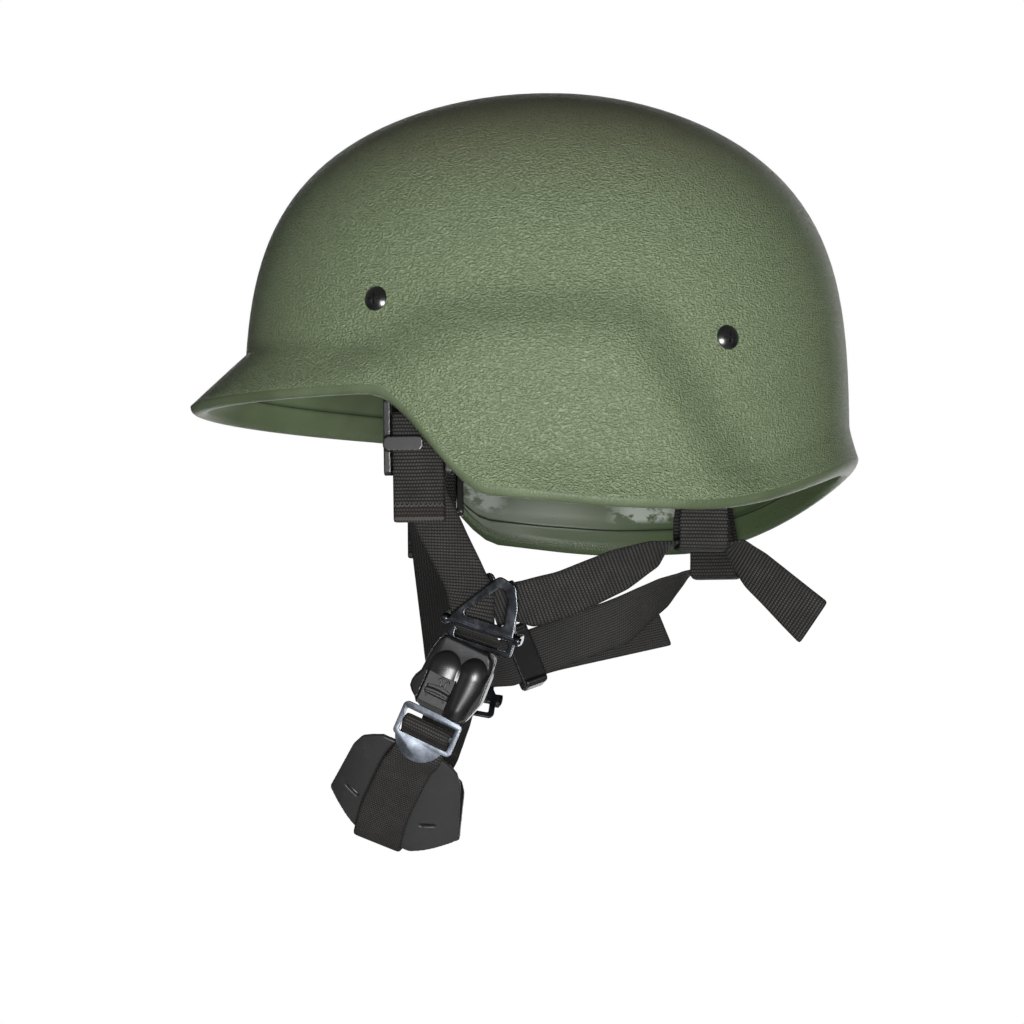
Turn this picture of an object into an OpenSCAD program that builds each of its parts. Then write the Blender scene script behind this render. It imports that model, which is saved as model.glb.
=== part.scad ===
// Combat helmet: an aramid-style shell with a swept ear bulge and a flared rim,
// a web suspension inside and a four-point chin harness with a quick-release buckle.
// X runs to the wearer's left, Y to the back and Z up. The origin is the middle of
// the head opening, level with the lowest part of the ear rims.

/* [Shell] */
// Width across the rim, ear to ear
shell_w = 241.4; // [232:0.2:252]
// Rim reach in front of the origin, to the tip of the brim
rim_front = 155.5; // [148:0.5:162]
// Rim reach behind the origin
rim_rear = 124.5; // [118:0.5:132]
// Height of the crown above the origin
crown_h = 185; // [176:0.5:194]
// Half width of the dome at its base
dome_half_w = 105; // [101:0.5:109]
// Reach of the dome in front of its own centre
dome_front = 130.6; // [124:0.2:136]
// Reach of the dome behind its own centre
dome_rear = 123.1; // [118:0.1:127]
// Wall thickness
wall = 7.8; // [6.5:0.1:8.6]
// Height of the front rim above the ear rims
brow_h = 42.5; // [38:0.5:47]
// Height of the rear rim above the ear rims
nape_h = 27; // [20:0.5:34]
// Depth of the flared band above the rim
flare_h = 17; // [13:0.5:21]
// Extra depth of the flared band at the brim
brim_h = 7; // [3:0.5:10]
// How far the ear bulge stands out
bulge_out = 11; // [8:0.5:13]
// Height of the ear bulge above the origin
bulge_h = 83; // [78:0.5:88]

/* [Shell screws] */
// Front screw, distance ahead of the origin
screw_front_y = 74; // [68:0.5:80]
// Front screw, height
screw_front_z = 87; // [84:0.5:92]
// Rear screw, distance behind the origin
screw_rear_y = 67.4; // [62:0.2:72]
// Rear screw, height
screw_rear_z = 71; // [68:0.5:76]
// Radius of the domed screw head
screw_head_r = 5; // [4:0.1:5.6]
// Radius of the screw shank
shank_r = 2; // [1.6:0.05:2.4]
// Outer radius of the threaded post that the screw goes into
post_r = 3.3; // [3:0.1:3.8]

/* [Suspension] */
// Height of the bottom edge of the suspension band
band_z = 70; // [68.5:0.5:73]
// Depth of the suspension band
band_h = 22; // [20:0.5:24]
// Thickness of the band webbing
band_t = 1.6; // [1.2:0.1:2]
// Width of each crown strap
crown_strap_w = 22; // [16:1:26]
// Depth of the crown lace under the crown
lace_drop = 33; // [29:0.5:38]
// Radius of the ring that the crown lace makes
lace_ring_r = 26; // [22:0.5:32]
// Gap between the headband's foam and the suspension band, at the sides
headband_gap_side = 5.4; // [4:0.1:8]
// Gap between the headband's foam and the suspension band, at the back
headband_gap_back = 3; // [2:0.1:6]
// Depth of the headband
headband_h = 34; // [30:0.5:36]
// Thickness of the headband leather
leather_t = 1.6; // [1.2:0.1:2]
// Thickness of the foam behind the leather
foam_t = 3; // [2:0.25:4]

/* [Webbing] */
// Width of the harness webbing
web_w = 21; // [19:0.5:21.5]
// Thickness of the harness webbing
web_t = 1.6; // [1.3:0.1:1.8]
// Distance of the strap adjusters in from the widest rim
lock_rim_inset = 31.5; // [30:0.5:36]
// Distance of the strap adjusters in from the widest part of the dome
lock_dome_inset = 15.8; // [14.8:0.2:19]
// Height of the middle of the strap adjusters
lock_z = 31; // [28:0.5:33]
// Distance of the strap adjusters ahead of the origin
lock_y = 57; // [54:0.5:60]
// Length of the loose tail below the adjuster
tail_len = 34.5; // [28:0.5:40]
// Front strap length to the ring, left side
front_len_left = 64; // [58:0.5:70]
// Front strap length to the ring, right side
front_len_right = 80; // [74:0.5:84]
// Backward lean of the left front strap, in degrees
front_lean_left = 20; // [17:0.5:23]
// Backward lean of the right front strap, in degrees
front_lean_right = 7.5; // [5:0.5:10]
// Inward lean of the front straps, in degrees
front_tuck = 10; // [7:0.5:13]
// Length of the left nape strap beyond its rear loop
nape_tail = 54; // [44:1:60]
// Depth of the rear loops below the origin
loop_drop = 14; // [10:0.5:18]
// Distance of the left rear loop in from the widest part of the dome
loop_inset = 30.5; // [28:0.5:33]

/* [Hardware] */
// Width of the triangular rings at their base
ring_w = 27.5; // [26:0.5:30]
// Height of the triangular rings
ring_h = 23.5; // [21:0.5:26]
// Thickness of the ring plates
ring_t = 2; // [1.6:0.1:2.4]
// Radius of the ring's hinge studs
stud_r = 1.2; // [1:0.05:1.4]
// Radial running clearance of the hinge studs
stud_gap = 0.05; // [0.02:0.01:0.09]
// Width of the buckle housing
buckle_w = 27; // [25:0.5:30]
// Length of the buckle housing
buckle_l = 32; // [30:0.5:35]
// Depth of the buckle housing
buckle_d = 11; // [10:0.5:13]
// Width of the release slide
slide_w = 12; // [9:0.5:12.5]
// Distance of the release slide to the front of the buckle's middle
slide_shift = 4.4; // [3.8:0.1:4.8]
// Travel of the release slide
slide_travel = 4; // [3:0.5:5]
// Thickness of the steel tongue
tongue_t = 1.6; // [1.2:0.1:2]
// Width of the steel tongue's adjuster frame
tongue_w = 26; // [25:0.5:28]

/* [Chin cup] */
// Depth of the fold of the cup below the origin
cup_drop = 131; // [126:0.5:136]
// Distance of the fold of the cup ahead of the origin
cup_y = 75; // [71:0.5:79]
// Greatest half width of the cup's flaps
cup_half_w = 28.5; // [24:0.5:31]
// Half width of the cup where it folds
fold_half_w = 12; // [11:0.5:14]
// Thickness of the cup's rubber
cup_t = 2; // [1.6:0.1:2.4]

/* [Hidden] */
$fn = 48;

// Colours
olive = [0.36, 0.43, 0.31];
black_plastic = [0.06, 0.06, 0.065];
webbing_black = [0.14, 0.13, 0.125];
gunmetal = [0.35, 0.37, 0.4];
rubber_grey = [0.17, 0.17, 0.17];
leather_tan = [0.33, 0.25, 0.18];

// Clearances
soft_gap = 0.3;
bolt_gap = 0.1;

// Plain helpers
function unit(v) = v / norm(v);
function mix(a, b, t) = a * (1 - t) + b * t;
function clamp(x, lo, hi) = min(max(x, lo), hi);
function ease(lo, hi, x) = let(s = clamp((x - lo) / (hi - lo), 0, 1)) s * s * (3 - 2 * s);
function soft_min(a, b, k) = let(h = clamp(0.5 + (b - a) / (2 * k), 0, 1))
    mix(b, a, h) - k * h * (1 - h);
function power(x, p) = sign(x) * pow(abs(x), p);

// A frame is a centre and three turns about X, Y and Z, as rotate() applies them
function turned(a, p) =
    let(y1 = p[1] * cos(a[0]) - p[2] * sin(a[0]), z1 = p[1] * sin(a[0]) + p[2] * cos(a[0]))
    let(x2 = p[0] * cos(a[1]) + z1 * sin(a[1]), z2 = -p[0] * sin(a[1]) + z1 * cos(a[1]))
    [x2 * cos(a[2]) - y1 * sin(a[2]), x2 * sin(a[2]) + y1 * cos(a[2]), z2];
function world(f, p) = f[0] + turned(f[1], p);
module at(f) translate(f[0]) rotate(f[1]) children();

// The shell's surface
rim_half_w = shell_w / 2;
rim_front_power = 1.73;
rim_rear_power = 1.95;
dome_power = 2.2;
dome_shift = -2.3;
dome_base = 4.5;
dome_lift = 4.49;
dome_front_lean = 1.91;
dome_rear_lean = 1.69;
lip_r = 3.6;
bulge_shoulder = 25;
bulge_start = -9;
brow_y = -105;
brow_fall = 0.02;
lace_z = crown_h - lace_drop;

function rim_z(y) =
    let(w = ease(-77.5, -27.5, y))
    (brow_h - brow_fall * (y - brow_y)) * (1 - w)
    + 6 * (1 - ease(-50, 30, y))
    + nape_h * pow(clamp((y - 51.7) / 72.8, 0, 1.3), 1.89) * w;
// How far a point lies inside the outline of the ear bulge
function bulge_depth(y, z) =
    let(top = bulge_h - z)
    let(front = ((y + 69) * 0.511 - (z - bulge_h + 14) * 0.858))
    let(rear = -((y - 40) * 0.865 + (z - bulge_h + 9.3) * 0.503))
    soft_min(soft_min(top, front, 9), rear, 12);
function bulge(y, z) = bulge_out * ease(bulge_start, bulge_start + bulge_shoulder, bulge_depth(y, z));
function dome_girth(z, lean, inset) =
    let(h = clamp((z - dome_base) / (crown_h - inset - dome_base), 0, 1))
    pow(1 - pow(h, dome_lift), 1 / lean);
function dome_point(a, z, inset) =
    let(s = sin(a), c = -cos(a))
    let(lean = mix(dome_front_lean, dome_rear_lean, (1 + c) / 2))
    let(g = dome_girth(z, lean, inset))
    let(reach = c < 0 ? dome_front : dome_rear)
    let(x = (dome_half_w - inset) * power(s, 2 / dome_power) * g)
    let(y = dome_shift + (reach - inset) * power(c, 2 / dome_power) * g)
    let(out = bulge(y, z) * abs(s) * g)
    [x + sign(s) * out, y, z];
function rim_point(a, inset) =
    let(s = sin(a), c = -cos(a))
    let(p = c < 0 ? rim_front_power : rim_rear_power)
    let(reach = c < 0 ? rim_front : rim_rear)
    [(rim_half_w - inset) * power(s, 2 / p), (reach - inset) * power(c, 2 / p)];
function brim_share(a) = pow(max(cos(a), 0), 1.3);
// Point of the shell's wall: a is the angle round from the front, t runs from the rim to the crown
flare_rows = 5;
dome_rows = 20;
function flare_top(a, inset) = rim_z(rim_point(a, inset)[1]) + flare_h + brim_h * brim_share(a);
function wall_point(a, row, inset) =
    let(rim = rim_point(a, inset), z0 = rim_z(rim[1]) + lip_r, z1 = flare_top(a, inset))
    row <= flare_rows
        ? let(t = row / flare_rows, z = mix(z0, z1, t), d = dome_point(a, z, inset))
          let(f = mix(pow(1 - t, 1.25), 1 - t, brim_share(a)))
          [mix(d[0], rim[0], f), mix(d[1], rim[1], f), z]
        : let(t = (row - flare_rows) / dome_rows, top = crown_h - inset)
          let(z = top - (top - z1) * (1 - t) * (1 - t))
          dome_point(a, z, inset);
shell_sides = 80;
wall_rows = flare_rows + dome_rows;
lip_rows = 4;
function ring_of(row, inset) =
    [for (i = [0:shell_sides - 1]) wall_point(360 * i / shell_sides, row, inset)];
function lip_ring(j) =
    [for (i = [0:shell_sides - 1])
        let(a = 360 * i / shell_sides, q = 180 * j / (lip_rows + 1))
        let(o = wall_point(a, 0, 0), n = wall_point(a, 0, wall))
        mix(o, n, (1 - cos(q)) / 2) - [0, 0, lip_r * sin(q)]];
shell_rings = concat(
    [for (r = [wall_rows - 1:-1:0]) ring_of(r, 0)],
    [for (j = [1:lip_rows]) lip_ring(j)],
    [for (r = [0:wall_rows - 1]) ring_of(r, wall)]);

// A closed skin over rings of equal count, with a point at each end
module skin_between(first, rings, last) {
    n = len(rings[0]);
    m = len(rings);
    points = concat([first], [for (r = rings) each r], [last]);
    function id(r, i) = 1 + r * n + (i + n) % n;
    faces = concat(
        [for (i = [0:n - 1]) [0, id(0, i + 1), id(0, i)]],
        [for (r = [0:m - 2], i = [0:n - 1]) [id(r, i), id(r + 1, i + 1), id(r + 1, i)]],
        [for (r = [0:m - 2], i = [0:n - 1]) [id(r, i), id(r, i + 1), id(r + 1, i + 1)]],
        [for (i = [0:n - 1]) [id(m - 1, i), id(m - 1, i + 1), len(points) - 1]]);
    polyhedron(points, faces);
}

// Half width of the dome at a point of its side, found by inverting dome_point
function side_x(y, z, inset, c = 0, left = 3) =
    let(lean = mix(dome_front_lean, dome_rear_lean, (1 + c) / 2), g = dome_girth(z, lean, inset))
    let(reach = (y < dome_shift ? dome_front : dome_rear) - inset)
    let(k = pow(clamp(abs(y - dome_shift) / (reach * g), 0, 1), dome_power / 2))
    left > 0
        ? side_x(y, z, inset, sign(y - dome_shift) * k, left - 1)
        : let(s = sqrt(1 - k * k))
          (dome_half_w - inset) * pow(s, 2 / dome_power) * g + bulge(y, z) * s * g;
function side_normal(y, z) = unit([1,
    (side_x(y - 1, z, 0) - side_x(y + 1, z, 0)) / 2,
    (side_x(y, z - 1, 0) - side_x(y, z + 1, 0)) / 2]);
// Depth of the inner surface under a point of the outer one, along a direction
function depth_under(p, n, d = 0, left = 8) = let(q = p - n * d)
    left == 0 ? d : depth_under(p, n, d + (q[0] - side_x(q[1], q[2], wall)) * n[0], left - 1);
function screw_frame(y, z) = let(n = side_normal(y, z))
    [[side_x(y, z, 0), y, z], [0, -asin(n[2]), atan2(n[1], n[0])]];
front_screw = screw_frame(-screw_front_y, screw_front_z);
rear_screw = screw_frame(screw_rear_y, screw_rear_z);
front_depth = depth_under(front_screw[0], side_normal(-screw_front_y, screw_front_z));
rear_depth = depth_under(rear_screw[0], side_normal(screw_rear_y, screw_rear_z));

// Solids along the frame's own axes: X is outward, Y is the width and Z is up
module both_sides() {
    children();
    mirror([1, 0, 0]) children();
}
module rod(r, x0, x1) translate([x0, 0, 0]) rotate([0, 90, 0]) cylinder(h = x1 - x0, r = r);
module bar(r, x, z, half) translate([x, half, z]) rotate([90, 0, 0]) cylinder(h = 2 * half, r = r);
module plate(outline, x0, x1) translate([x0, 0, 0]) rotate([90, 0, 90])
    linear_extrude(x1 - x0) polygon(outline);
module side_plate(outline, y0, y1) translate([0, y1, 0]) rotate([90, 0, 0])
    linear_extrude(y1 - y0) polygon(outline);
module block(x0, x1, y0, y1, z0, z1) translate([x0, y0, z0]) cube([x1 - x0, y1 - y0, z1 - z0]);
// Outline round circles of one radius, whose centres run anticlockwise
function round_outline(centres, r, steps = 5) = let(n = len(centres))
    [for (i = [0:n - 1])
        let(p = centres[(i + n - 1) % n], q = centres[i], s = centres[(i + 1) % n])
        let(a0 = atan2(q[1] - p[1], q[0] - p[0]) - 90, a1 = atan2(s[1] - q[1], s[0] - q[0]) - 90)
        let(d = (a1 - a0 + 720) % 360)
        for (k = [0:steps]) q + r * [cos(a0 + d * k / steps), sin(a0 + d * k / steps)]];
function round_box(y0, y1, z0, z1, r) = round_outline(
    [[y0 + r, z0 + r], [y1 - r, z0 + r], [y1 - r, z1 - r], [y0 + r, z1 - r]], r);

// Webbing. A station is a point on the middle of the tape and half of its width
function station(f, p, half) = [world(f, p), turned(f[1], [0, half, 0])];
function stations(f, points, half) = [for (p = points) station(f, p, half)];
function arc(x, z, r, a0, a1, steps = 8, y = 0) =
    [for (k = [0:steps]) let(a = mix(a0, a1, k / steps)) [x + r * cos(a), y, z + r * sin(a)]];
function between(a, b, steps) =
    [for (k = [1:steps - 1]) [mix(a[0], b[0], k / steps), mix(a[1], b[1], k / steps)]];
function flipped(list) = [for (i = [len(list) - 1:-1:0]) list[i]];

module ribbon(path, thick, closed = false) {
    n = len(path);
    function prev(i) = closed ? (i + n - 1) % n : max(i - 1, 0);
    function next(i) = closed ? (i + 1) % n : min(i + 1, n - 1);
    normals = [for (i = [0:n - 1]) unit(cross(path[i][1], path[next(i)][0] - path[prev(i)][0]))];
    points = [for (i = [0:n - 1], k = [[1, 1], [-1, 1], [-1, -1], [1, -1]])
        path[i][0] + path[i][1] * k[0] + normals[i] * thick / 2 * k[1]];
    function id(i, k) = (i % n) * 4 + k % 4;
    last = closed ? n - 1 : n - 2;
    caps = closed ? [] : [[0, 2, 1], [0, 3, 2],
        [id(n - 1, 0), id(n - 1, 1), id(n - 1, 2)], [id(n - 1, 0), id(n - 1, 2), id(n - 1, 3)]];
    faces = concat(caps,
        [for (i = [0:last], k = [0:3]) [id(i, k), id(i + 1, k + 1), id(i + 1, k)]],
        [for (i = [0:last], k = [0:3]) [id(i, k), id(i, k + 1), id(i + 1, k + 1)]]);
    polyhedron(points, faces);
}

// Frames of the harness, for the left side; the right side is drawn mirrored
half_web = web_w / 2;
slot_half = half_web + 0.5;
bar_r = 1.5;
wrap_r = bar_r + soft_gap + web_t / 2;
lock_x = min(rim_half_w - lock_rim_inset, dome_half_w - lock_dome_inset);
lock = [[lock_x, -lock_y, lock_z], [0, 6, -8]];
hang_bar = [-1.2, 0, 14.5];
mid_bar = [-1.2, 0, 7.2];
low_bar = [-1.2, 0, -14];
clip_roll_front = 23;
clip_roll_left = -8;
clip_roll_right = -5;
clip_t = 1.2;
function rolled(f, a) = [f[0], [a, f[1][1], f[1][2]]];
function clip_x(depth) = -depth - 3.1;
ply = clip_t / 2 + soft_gap + web_t / 2;
clip_low = -24.2;
clip_bar_top = -21.7;
clip_slot_top = -18.3;
clip_turn = clip_bar_top + soft_gap + web_t / 2 - ply;

plane_turn = [10, -12];
ring_drop = [front_len_left, front_len_right];
ring_rolls = [-18.7, -10];
ring_leans = [front_lean_left, front_lean_right];
apex_y = [-4, 0];
strap_foot = [-3.8, 0, -15.8];
ring_strap = [-2.4, -3.6, 0.5];
function ring_turn(side) = [ring_rolls[side], plane_turn[0], plane_turn[1]];
function ring_frame_of(side) =
    let(from = world(lock, strap_foot), a = ring_leans[side])
    let(dir = unit([-tan(front_tuck), tan(a), -1]))
    [from + dir * ring_drop[side] - turned(ring_turn(side), ring_strap), ring_turn(side)];
ring_left = ring_frame_of(0);
ring_right = ring_frame_of(1);
rear_x0 = -5.8 - ring_t;
rear_x1 = -5.8;
leg_half = 1.3;
nape_r = ring_t / 2 + soft_gap + web_t / 2;
nape_x = (rear_x0 + rear_x1) / 2;

buckle_turn = [-26, plane_turn[0], plane_turn[1]];
buckle = [world([ring_left[0], buckle_turn], [-7.6, -3, -24.4]), buckle_turn];
tongue_y = -2.2;

// The four screws and what they clamp
module at_screws() {
    both_sides() {
        at(front_screw) children(0);
        at(rear_screw) children(1);
    }
}
module shell() color(olive) difference() {
    skin_between([0, dome_shift, crown_h], shell_rings, [0, dome_shift, crown_h - wall]);
    at_screws() {
        rod(post_r + bolt_gap, -20, 6);
        rod(post_r + bolt_gap, -20, 6);
    }
}

head_h = 1.9;
head_seat = 0.6;
head_sphere = (screw_head_r * screw_head_r + head_h * head_h) / (2 * head_h);
cross_w = 0.9;
cross_l = 5.2;
module screw(depth) {
    difference() {
        intersection() {
            translate([head_seat + head_h - head_sphere, 0, 0]) sphere(head_sphere);
            rod(screw_head_r, head_seat, head_seat + 3);
        }
        block(1.1, 4, -cross_w / 2, cross_w / 2, -cross_l / 2, cross_l / 2);
        block(1.1, 4, -cross_l / 2, cross_l / 2, -cross_w / 2, cross_w / 2);
    }
    rod(shank_r, -depth - 4.6, head_seat + 0.1);
}
module shell_screws() color(black_plastic) at_screws() {
    screw(front_depth);
    screw(rear_depth);
}

post_flange_r = 6.5;
flange_t = 1.2;
module post(depth) difference() {
    union() {
        rod(post_r, -depth - 4.4, -0.4);
        rod(post_flange_r, -depth - 3.8 - flange_t, -depth - 3.8);
    }
    rod(shank_r + stud_gap, -depth - 8, 1);
}
module screw_posts() color(gunmetal) at_screws() {
    post(front_depth);
    post(rear_depth);
}

spacer_r = 7;
module spacer(depth) difference() {
    rod(spacer_r, -depth - 2.4, -depth - 0.5);
    rod(post_r + stud_gap, -depth - 4, 1);
}
module spacers() color(rubber_grey) at_screws() {
    spacer(front_depth);
    spacer(rear_depth);
}

// Clip: a folded plate behind each post, hooked over the band and slotted for a strap
clip_half = slot_half + 3;
hook_reach = 6.9;
module clip_plate(x, top) {
    plate(round_box(-clip_half + 2, clip_half - 2, -9, top, 2), x - clip_t / 2, x + clip_t / 2);
    block(x - hook_reach, x, -8, 8, top - clip_t, top);
    block(x - hook_reach, x - hook_reach + clip_t, -8, 8, top - 6, top);
}
module clip_foot(x) difference() {
    plate(round_box(-clip_half, clip_half, clip_low, 6, 2.4), x - clip_t / 2, x + clip_t / 2);
    block(x - 2, x + 2, -slot_half, slot_half, clip_bar_top, clip_slot_top);
}
module clip(f, depth, roll, top) difference() {
    union() {
        at(f) clip_plate(clip_x(depth), top);
        at(rolled(f, roll)) clip_foot(clip_x(depth));
    }
    at(f) rod(post_r + stud_gap, -20, 0);
}
hook_clear = 3.1;
function hook_top(screw_z) = band_z + band_h - screw_z + hook_clear;
module hanger_clips() color(gunmetal) {
    both_sides() clip(front_screw, front_depth, clip_roll_front, hook_top(screw_front_z));
    clip(rear_screw, rear_depth, clip_roll_left, hook_top(screw_rear_z));
    mirror([1, 0, 0]) clip(rear_screw, rear_depth, clip_roll_right, hook_top(screw_rear_z));
}

// Rings of webbing and leather that follow the inside of the dome
band_girth = dome_girth(band_z + band_h, (dome_front_lean + dome_rear_lean) / 2, wall);
band_gap_side = 5.3;
band_gap_front = 4.6;
band_gap_rear = 4.8;
band_power = 2.2;
band_sides = 72;
function ring_reach(a, hx, front, rear, p) =
    pow(pow(abs(sin(a)) / hx, p) + pow(abs(cos(a)) / (cos(a) > 0 ? front : rear), p), -1 / p);
function ring_outline(hx, front, rear, p, n) =
    [for (i = [0:n - 1]) let(a = 360 * i / n, r = ring_reach(a, hx, front, rear, p))
        [r * sin(a), dome_shift - r * cos(a)]];
band_x = (dome_half_w - wall) * band_girth - band_gap_side;
band_front = (dome_front - wall) * band_girth - band_gap_front;
band_rear = (dome_rear - wall) * band_girth - band_gap_rear;
module ring_wall(hx, front, rear, p, thick, z, h) translate([0, 0, z]) linear_extrude(h) difference() {
    polygon(ring_outline(hx, front, rear, p, band_sides));
    polygon(ring_outline(hx - thick, front - thick, rear - thick, p, band_sides));
}
module suspension_band() color(webbing_black)
    ring_wall(band_x, band_front, band_rear, band_power, band_t, band_z, band_h);

// Direction that faces out of such a ring at an angle
function ring_slope(a, hx, l, p) = let(r = ring_reach(a, hx, l, l, p))
    atan2(-sign(cos(a)) * pow(r * abs(cos(a)) / l, p - 1) / l,
        sign(sin(a)) * pow(r * abs(sin(a)) / hx, p - 1) / hx);

// Crown straps rise from the band and close in hems round the crown lace
strap_angles = [22, 90, 158, 202, 270, 338];
lace_r = 1.25;
hem_r = 2.1 + web_t / 2;
hem_half = 5;
strap_power = 2.4;
strap_foot_z = band_z + 3;
module crown_strap(a) {
    out = [sin(a), -cos(a), 0];
    side = [cos(a), sin(a), 0];
    l = cos(a) > 0 ? band_front : band_rear;
    slope = ring_slope(a, band_x, l, band_power);
    low_side = [-sin(slope), cos(slope), 0];
    foot = ring_reach(a, band_x - band_t, band_front - band_t, band_rear - band_t, band_power) - 2.1;
    head = lace_ring_r + hem_r;
    rise = band_z + band_h;
    function climb(t) = let(r = head + (foot - head) * pow(1 - pow(t, strap_power), 1 / strap_power))
        [r, mix(rise, lace_z + hem_r, t)];
    body = [[foot, strap_foot_z], for (k = [0:9]) climb(k / 10 * 0.93)];
    turn = [for (k = [0:10]) let(q = 90 + k * 26) [lace_ring_r + hem_r * cos(q), lace_z + hem_r * sin(q)]];
    all = concat(body, turn);
    n = len(all);
    path = [for (i = [0:n - 1])
        let(t = ease(rise, lace_z - 10, all[i][1]), h = mix(crown_strap_w / 2, hem_half, t))
        [[0, dome_shift, 0] + out * all[i][0] + [0, 0, all[i][1]], unit(mix(low_side, side, t)) * h]];
    ribbon(path, web_t);
}
module crown_straps() color(webbing_black) for (a = strap_angles) crown_strap(a);
knot_r = 2.6;
module crown_lace() color(webbing_black) translate([0, dome_shift, lace_z]) {
    rotate_extrude() translate([lace_ring_r, 0]) circle(lace_r);
    translate([0, lace_ring_r, 0]) sphere(knot_r);
    for (q = [-1, 1]) translate([0, lace_ring_r, 0]) rotate([90, 0, q * 28])
        cylinder(h = 16, r = lace_r);
}

// Leather headband, the foam behind it, its clips and its closing tab
headband_z = 70;
headband_power = 2.1;
foam_seat = 0.2;
foam_x = band_x - band_t - headband_gap_side;
foam_l = band_rear - band_t - headband_gap_back;
headband_half_w = foam_x - foam_t - foam_seat - leather_t;
headband_half_l = foam_l - foam_t - foam_seat - leather_t;
module headband() color(leather_tan) ring_wall(headband_half_w + leather_t, headband_half_l + leather_t,
    headband_half_l + leather_t, headband_power, leather_t, headband_z, headband_h);
// A wedge at the back of the head, to a number of degrees on both sides
module back_wedge(reach) translate([0, dome_shift, headband_z]) linear_extrude(headband_h)
    polygon([[0, 0], for (k = [-2:2]) 1.5 * foam_l * [sin(reach * k / 2), cos(reach * k / 2)]]);
tab_reach = 20;
module headband_foam() color(rubber_grey) difference() {
    ring_wall(foam_x, foam_l, foam_l, headband_power, foam_t, headband_z + 2, headband_h - 4);
    back_wedge(tab_reach);
}
tab_t = 1.4;
module headband_tab() color(webbing_black) intersection() {
    ring_wall(foam_x - foam_t + tab_t, foam_l - foam_t + tab_t, foam_l - foam_t + tab_t,
        headband_power, tab_t, headband_z + 5, headband_h - 10);
    back_wedge(tab_reach - 3);
}
headband_clip_angles = [0, 56, 124, 236, 304];
headband_clip_half = 5;
headband_clip_t = 1;
headband_clip_h = 15;
module headband_clip(a) {
    r = ring_reach(a, foam_x, foam_l, foam_l, headband_power);
    turn = ring_slope(a, foam_x, foam_l, headband_power);
    out = ring_reach(a, band_x - band_t, band_front - band_t, band_rear - band_t, band_power);
    reach = (out - r) * cos(turn - a + 90) - 1.2;
    half = headband_clip_half;
    translate([r * sin(a), dome_shift - r * cos(a), band_z]) rotate([0, 0, turn]) {
        block(soft_gap, soft_gap + headband_clip_t, -half, half, -2, headband_clip_h);
        block(soft_gap, reach, -half, half, -2, headband_clip_t - 2);
        block(reach - headband_clip_t, reach, -half, half, -2, headband_clip_h);
    }
}
module headband_clips() color(gunmetal) for (a = headband_clip_angles) headband_clip(a);

// Strap adjuster: two rails, three bars and a thumb tab
rail_w = 2.9;
rail_outline = round_outline([[-0.7, -13.5], [0.5, -13.5], [0.5, 0.2], [0.1, 14.2], [-0.9, 14.2]], 2, 4);
thumb_end = 2.6;
module strap_adjuster() at(lock) {
    for (q = [-1, 1]) {
        mid = q * (slot_half + rail_w / 2);
        side_plate(rail_outline, mid - rail_w / 2, mid + rail_w / 2);
    }
    for (b = [hang_bar, mid_bar, low_bar]) bar(bar_r, b[0], b[2], slot_half + 1);
    plate(round_box(-slot_half - rail_w, thumb_end, -5.5, 0.5, 2.4), 2.5, 4.3);
}
module strap_adjuster_left() color(black_plastic) strap_adjuster();
module strap_adjuster_right() color(black_plastic) mirror([1, 0, 0]) strap_adjuster();

// The loose tail, folded over the adjuster's middle bar and hemmed at its end
hem_l = 9;
tail_x = mid_bar[0] + wrap_r;
module front_tail() {
    fold = web_t / 2 + 0.05;
    low = -tail_len + fold + web_t / 2;
    ribbon(stations(lock, concat([[mid_bar[0] - wrap_r, 0, strap_foot[2] + 0.3]],
        arc(mid_bar[0], mid_bar[2], wrap_r, 180, 0, 10),
        [for (k = [1:4]) [tail_x, 0, mix(mid_bar[2], low, k / 5)]],
        arc(tail_x - fold, low, fold, 0, -180, 6),
        [[tail_x - 2 * fold, 0, low + hem_l]]), half_web), web_t);
}
module front_tail_left() color(webbing_black) front_tail();
module front_tail_right() color(webbing_black) mirror([1, 0, 0]) front_tail();

// The loop that hangs each adjuster from its clip
module front_hanger() {
    foot = rolled(front_screw, clip_roll_front);
    x = clip_x(front_depth);
    over = stations(foot, arc(x, clip_turn, ply, 0, 180), half_web - 1);
    under = stations(lock, arc(hang_bar[0], hang_bar[2], wrap_r, 180, 360, 10), half_web - 0.9);
    ribbon(concat(over, between(over[8], under[0], 5), under, between(under[10], over[0], 5)),
        web_t, true);
}
module front_hanger_left() color(webbing_black) front_hanger();
module front_hanger_right() color(webbing_black) mirror([1, 0, 0]) front_hanger();

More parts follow.
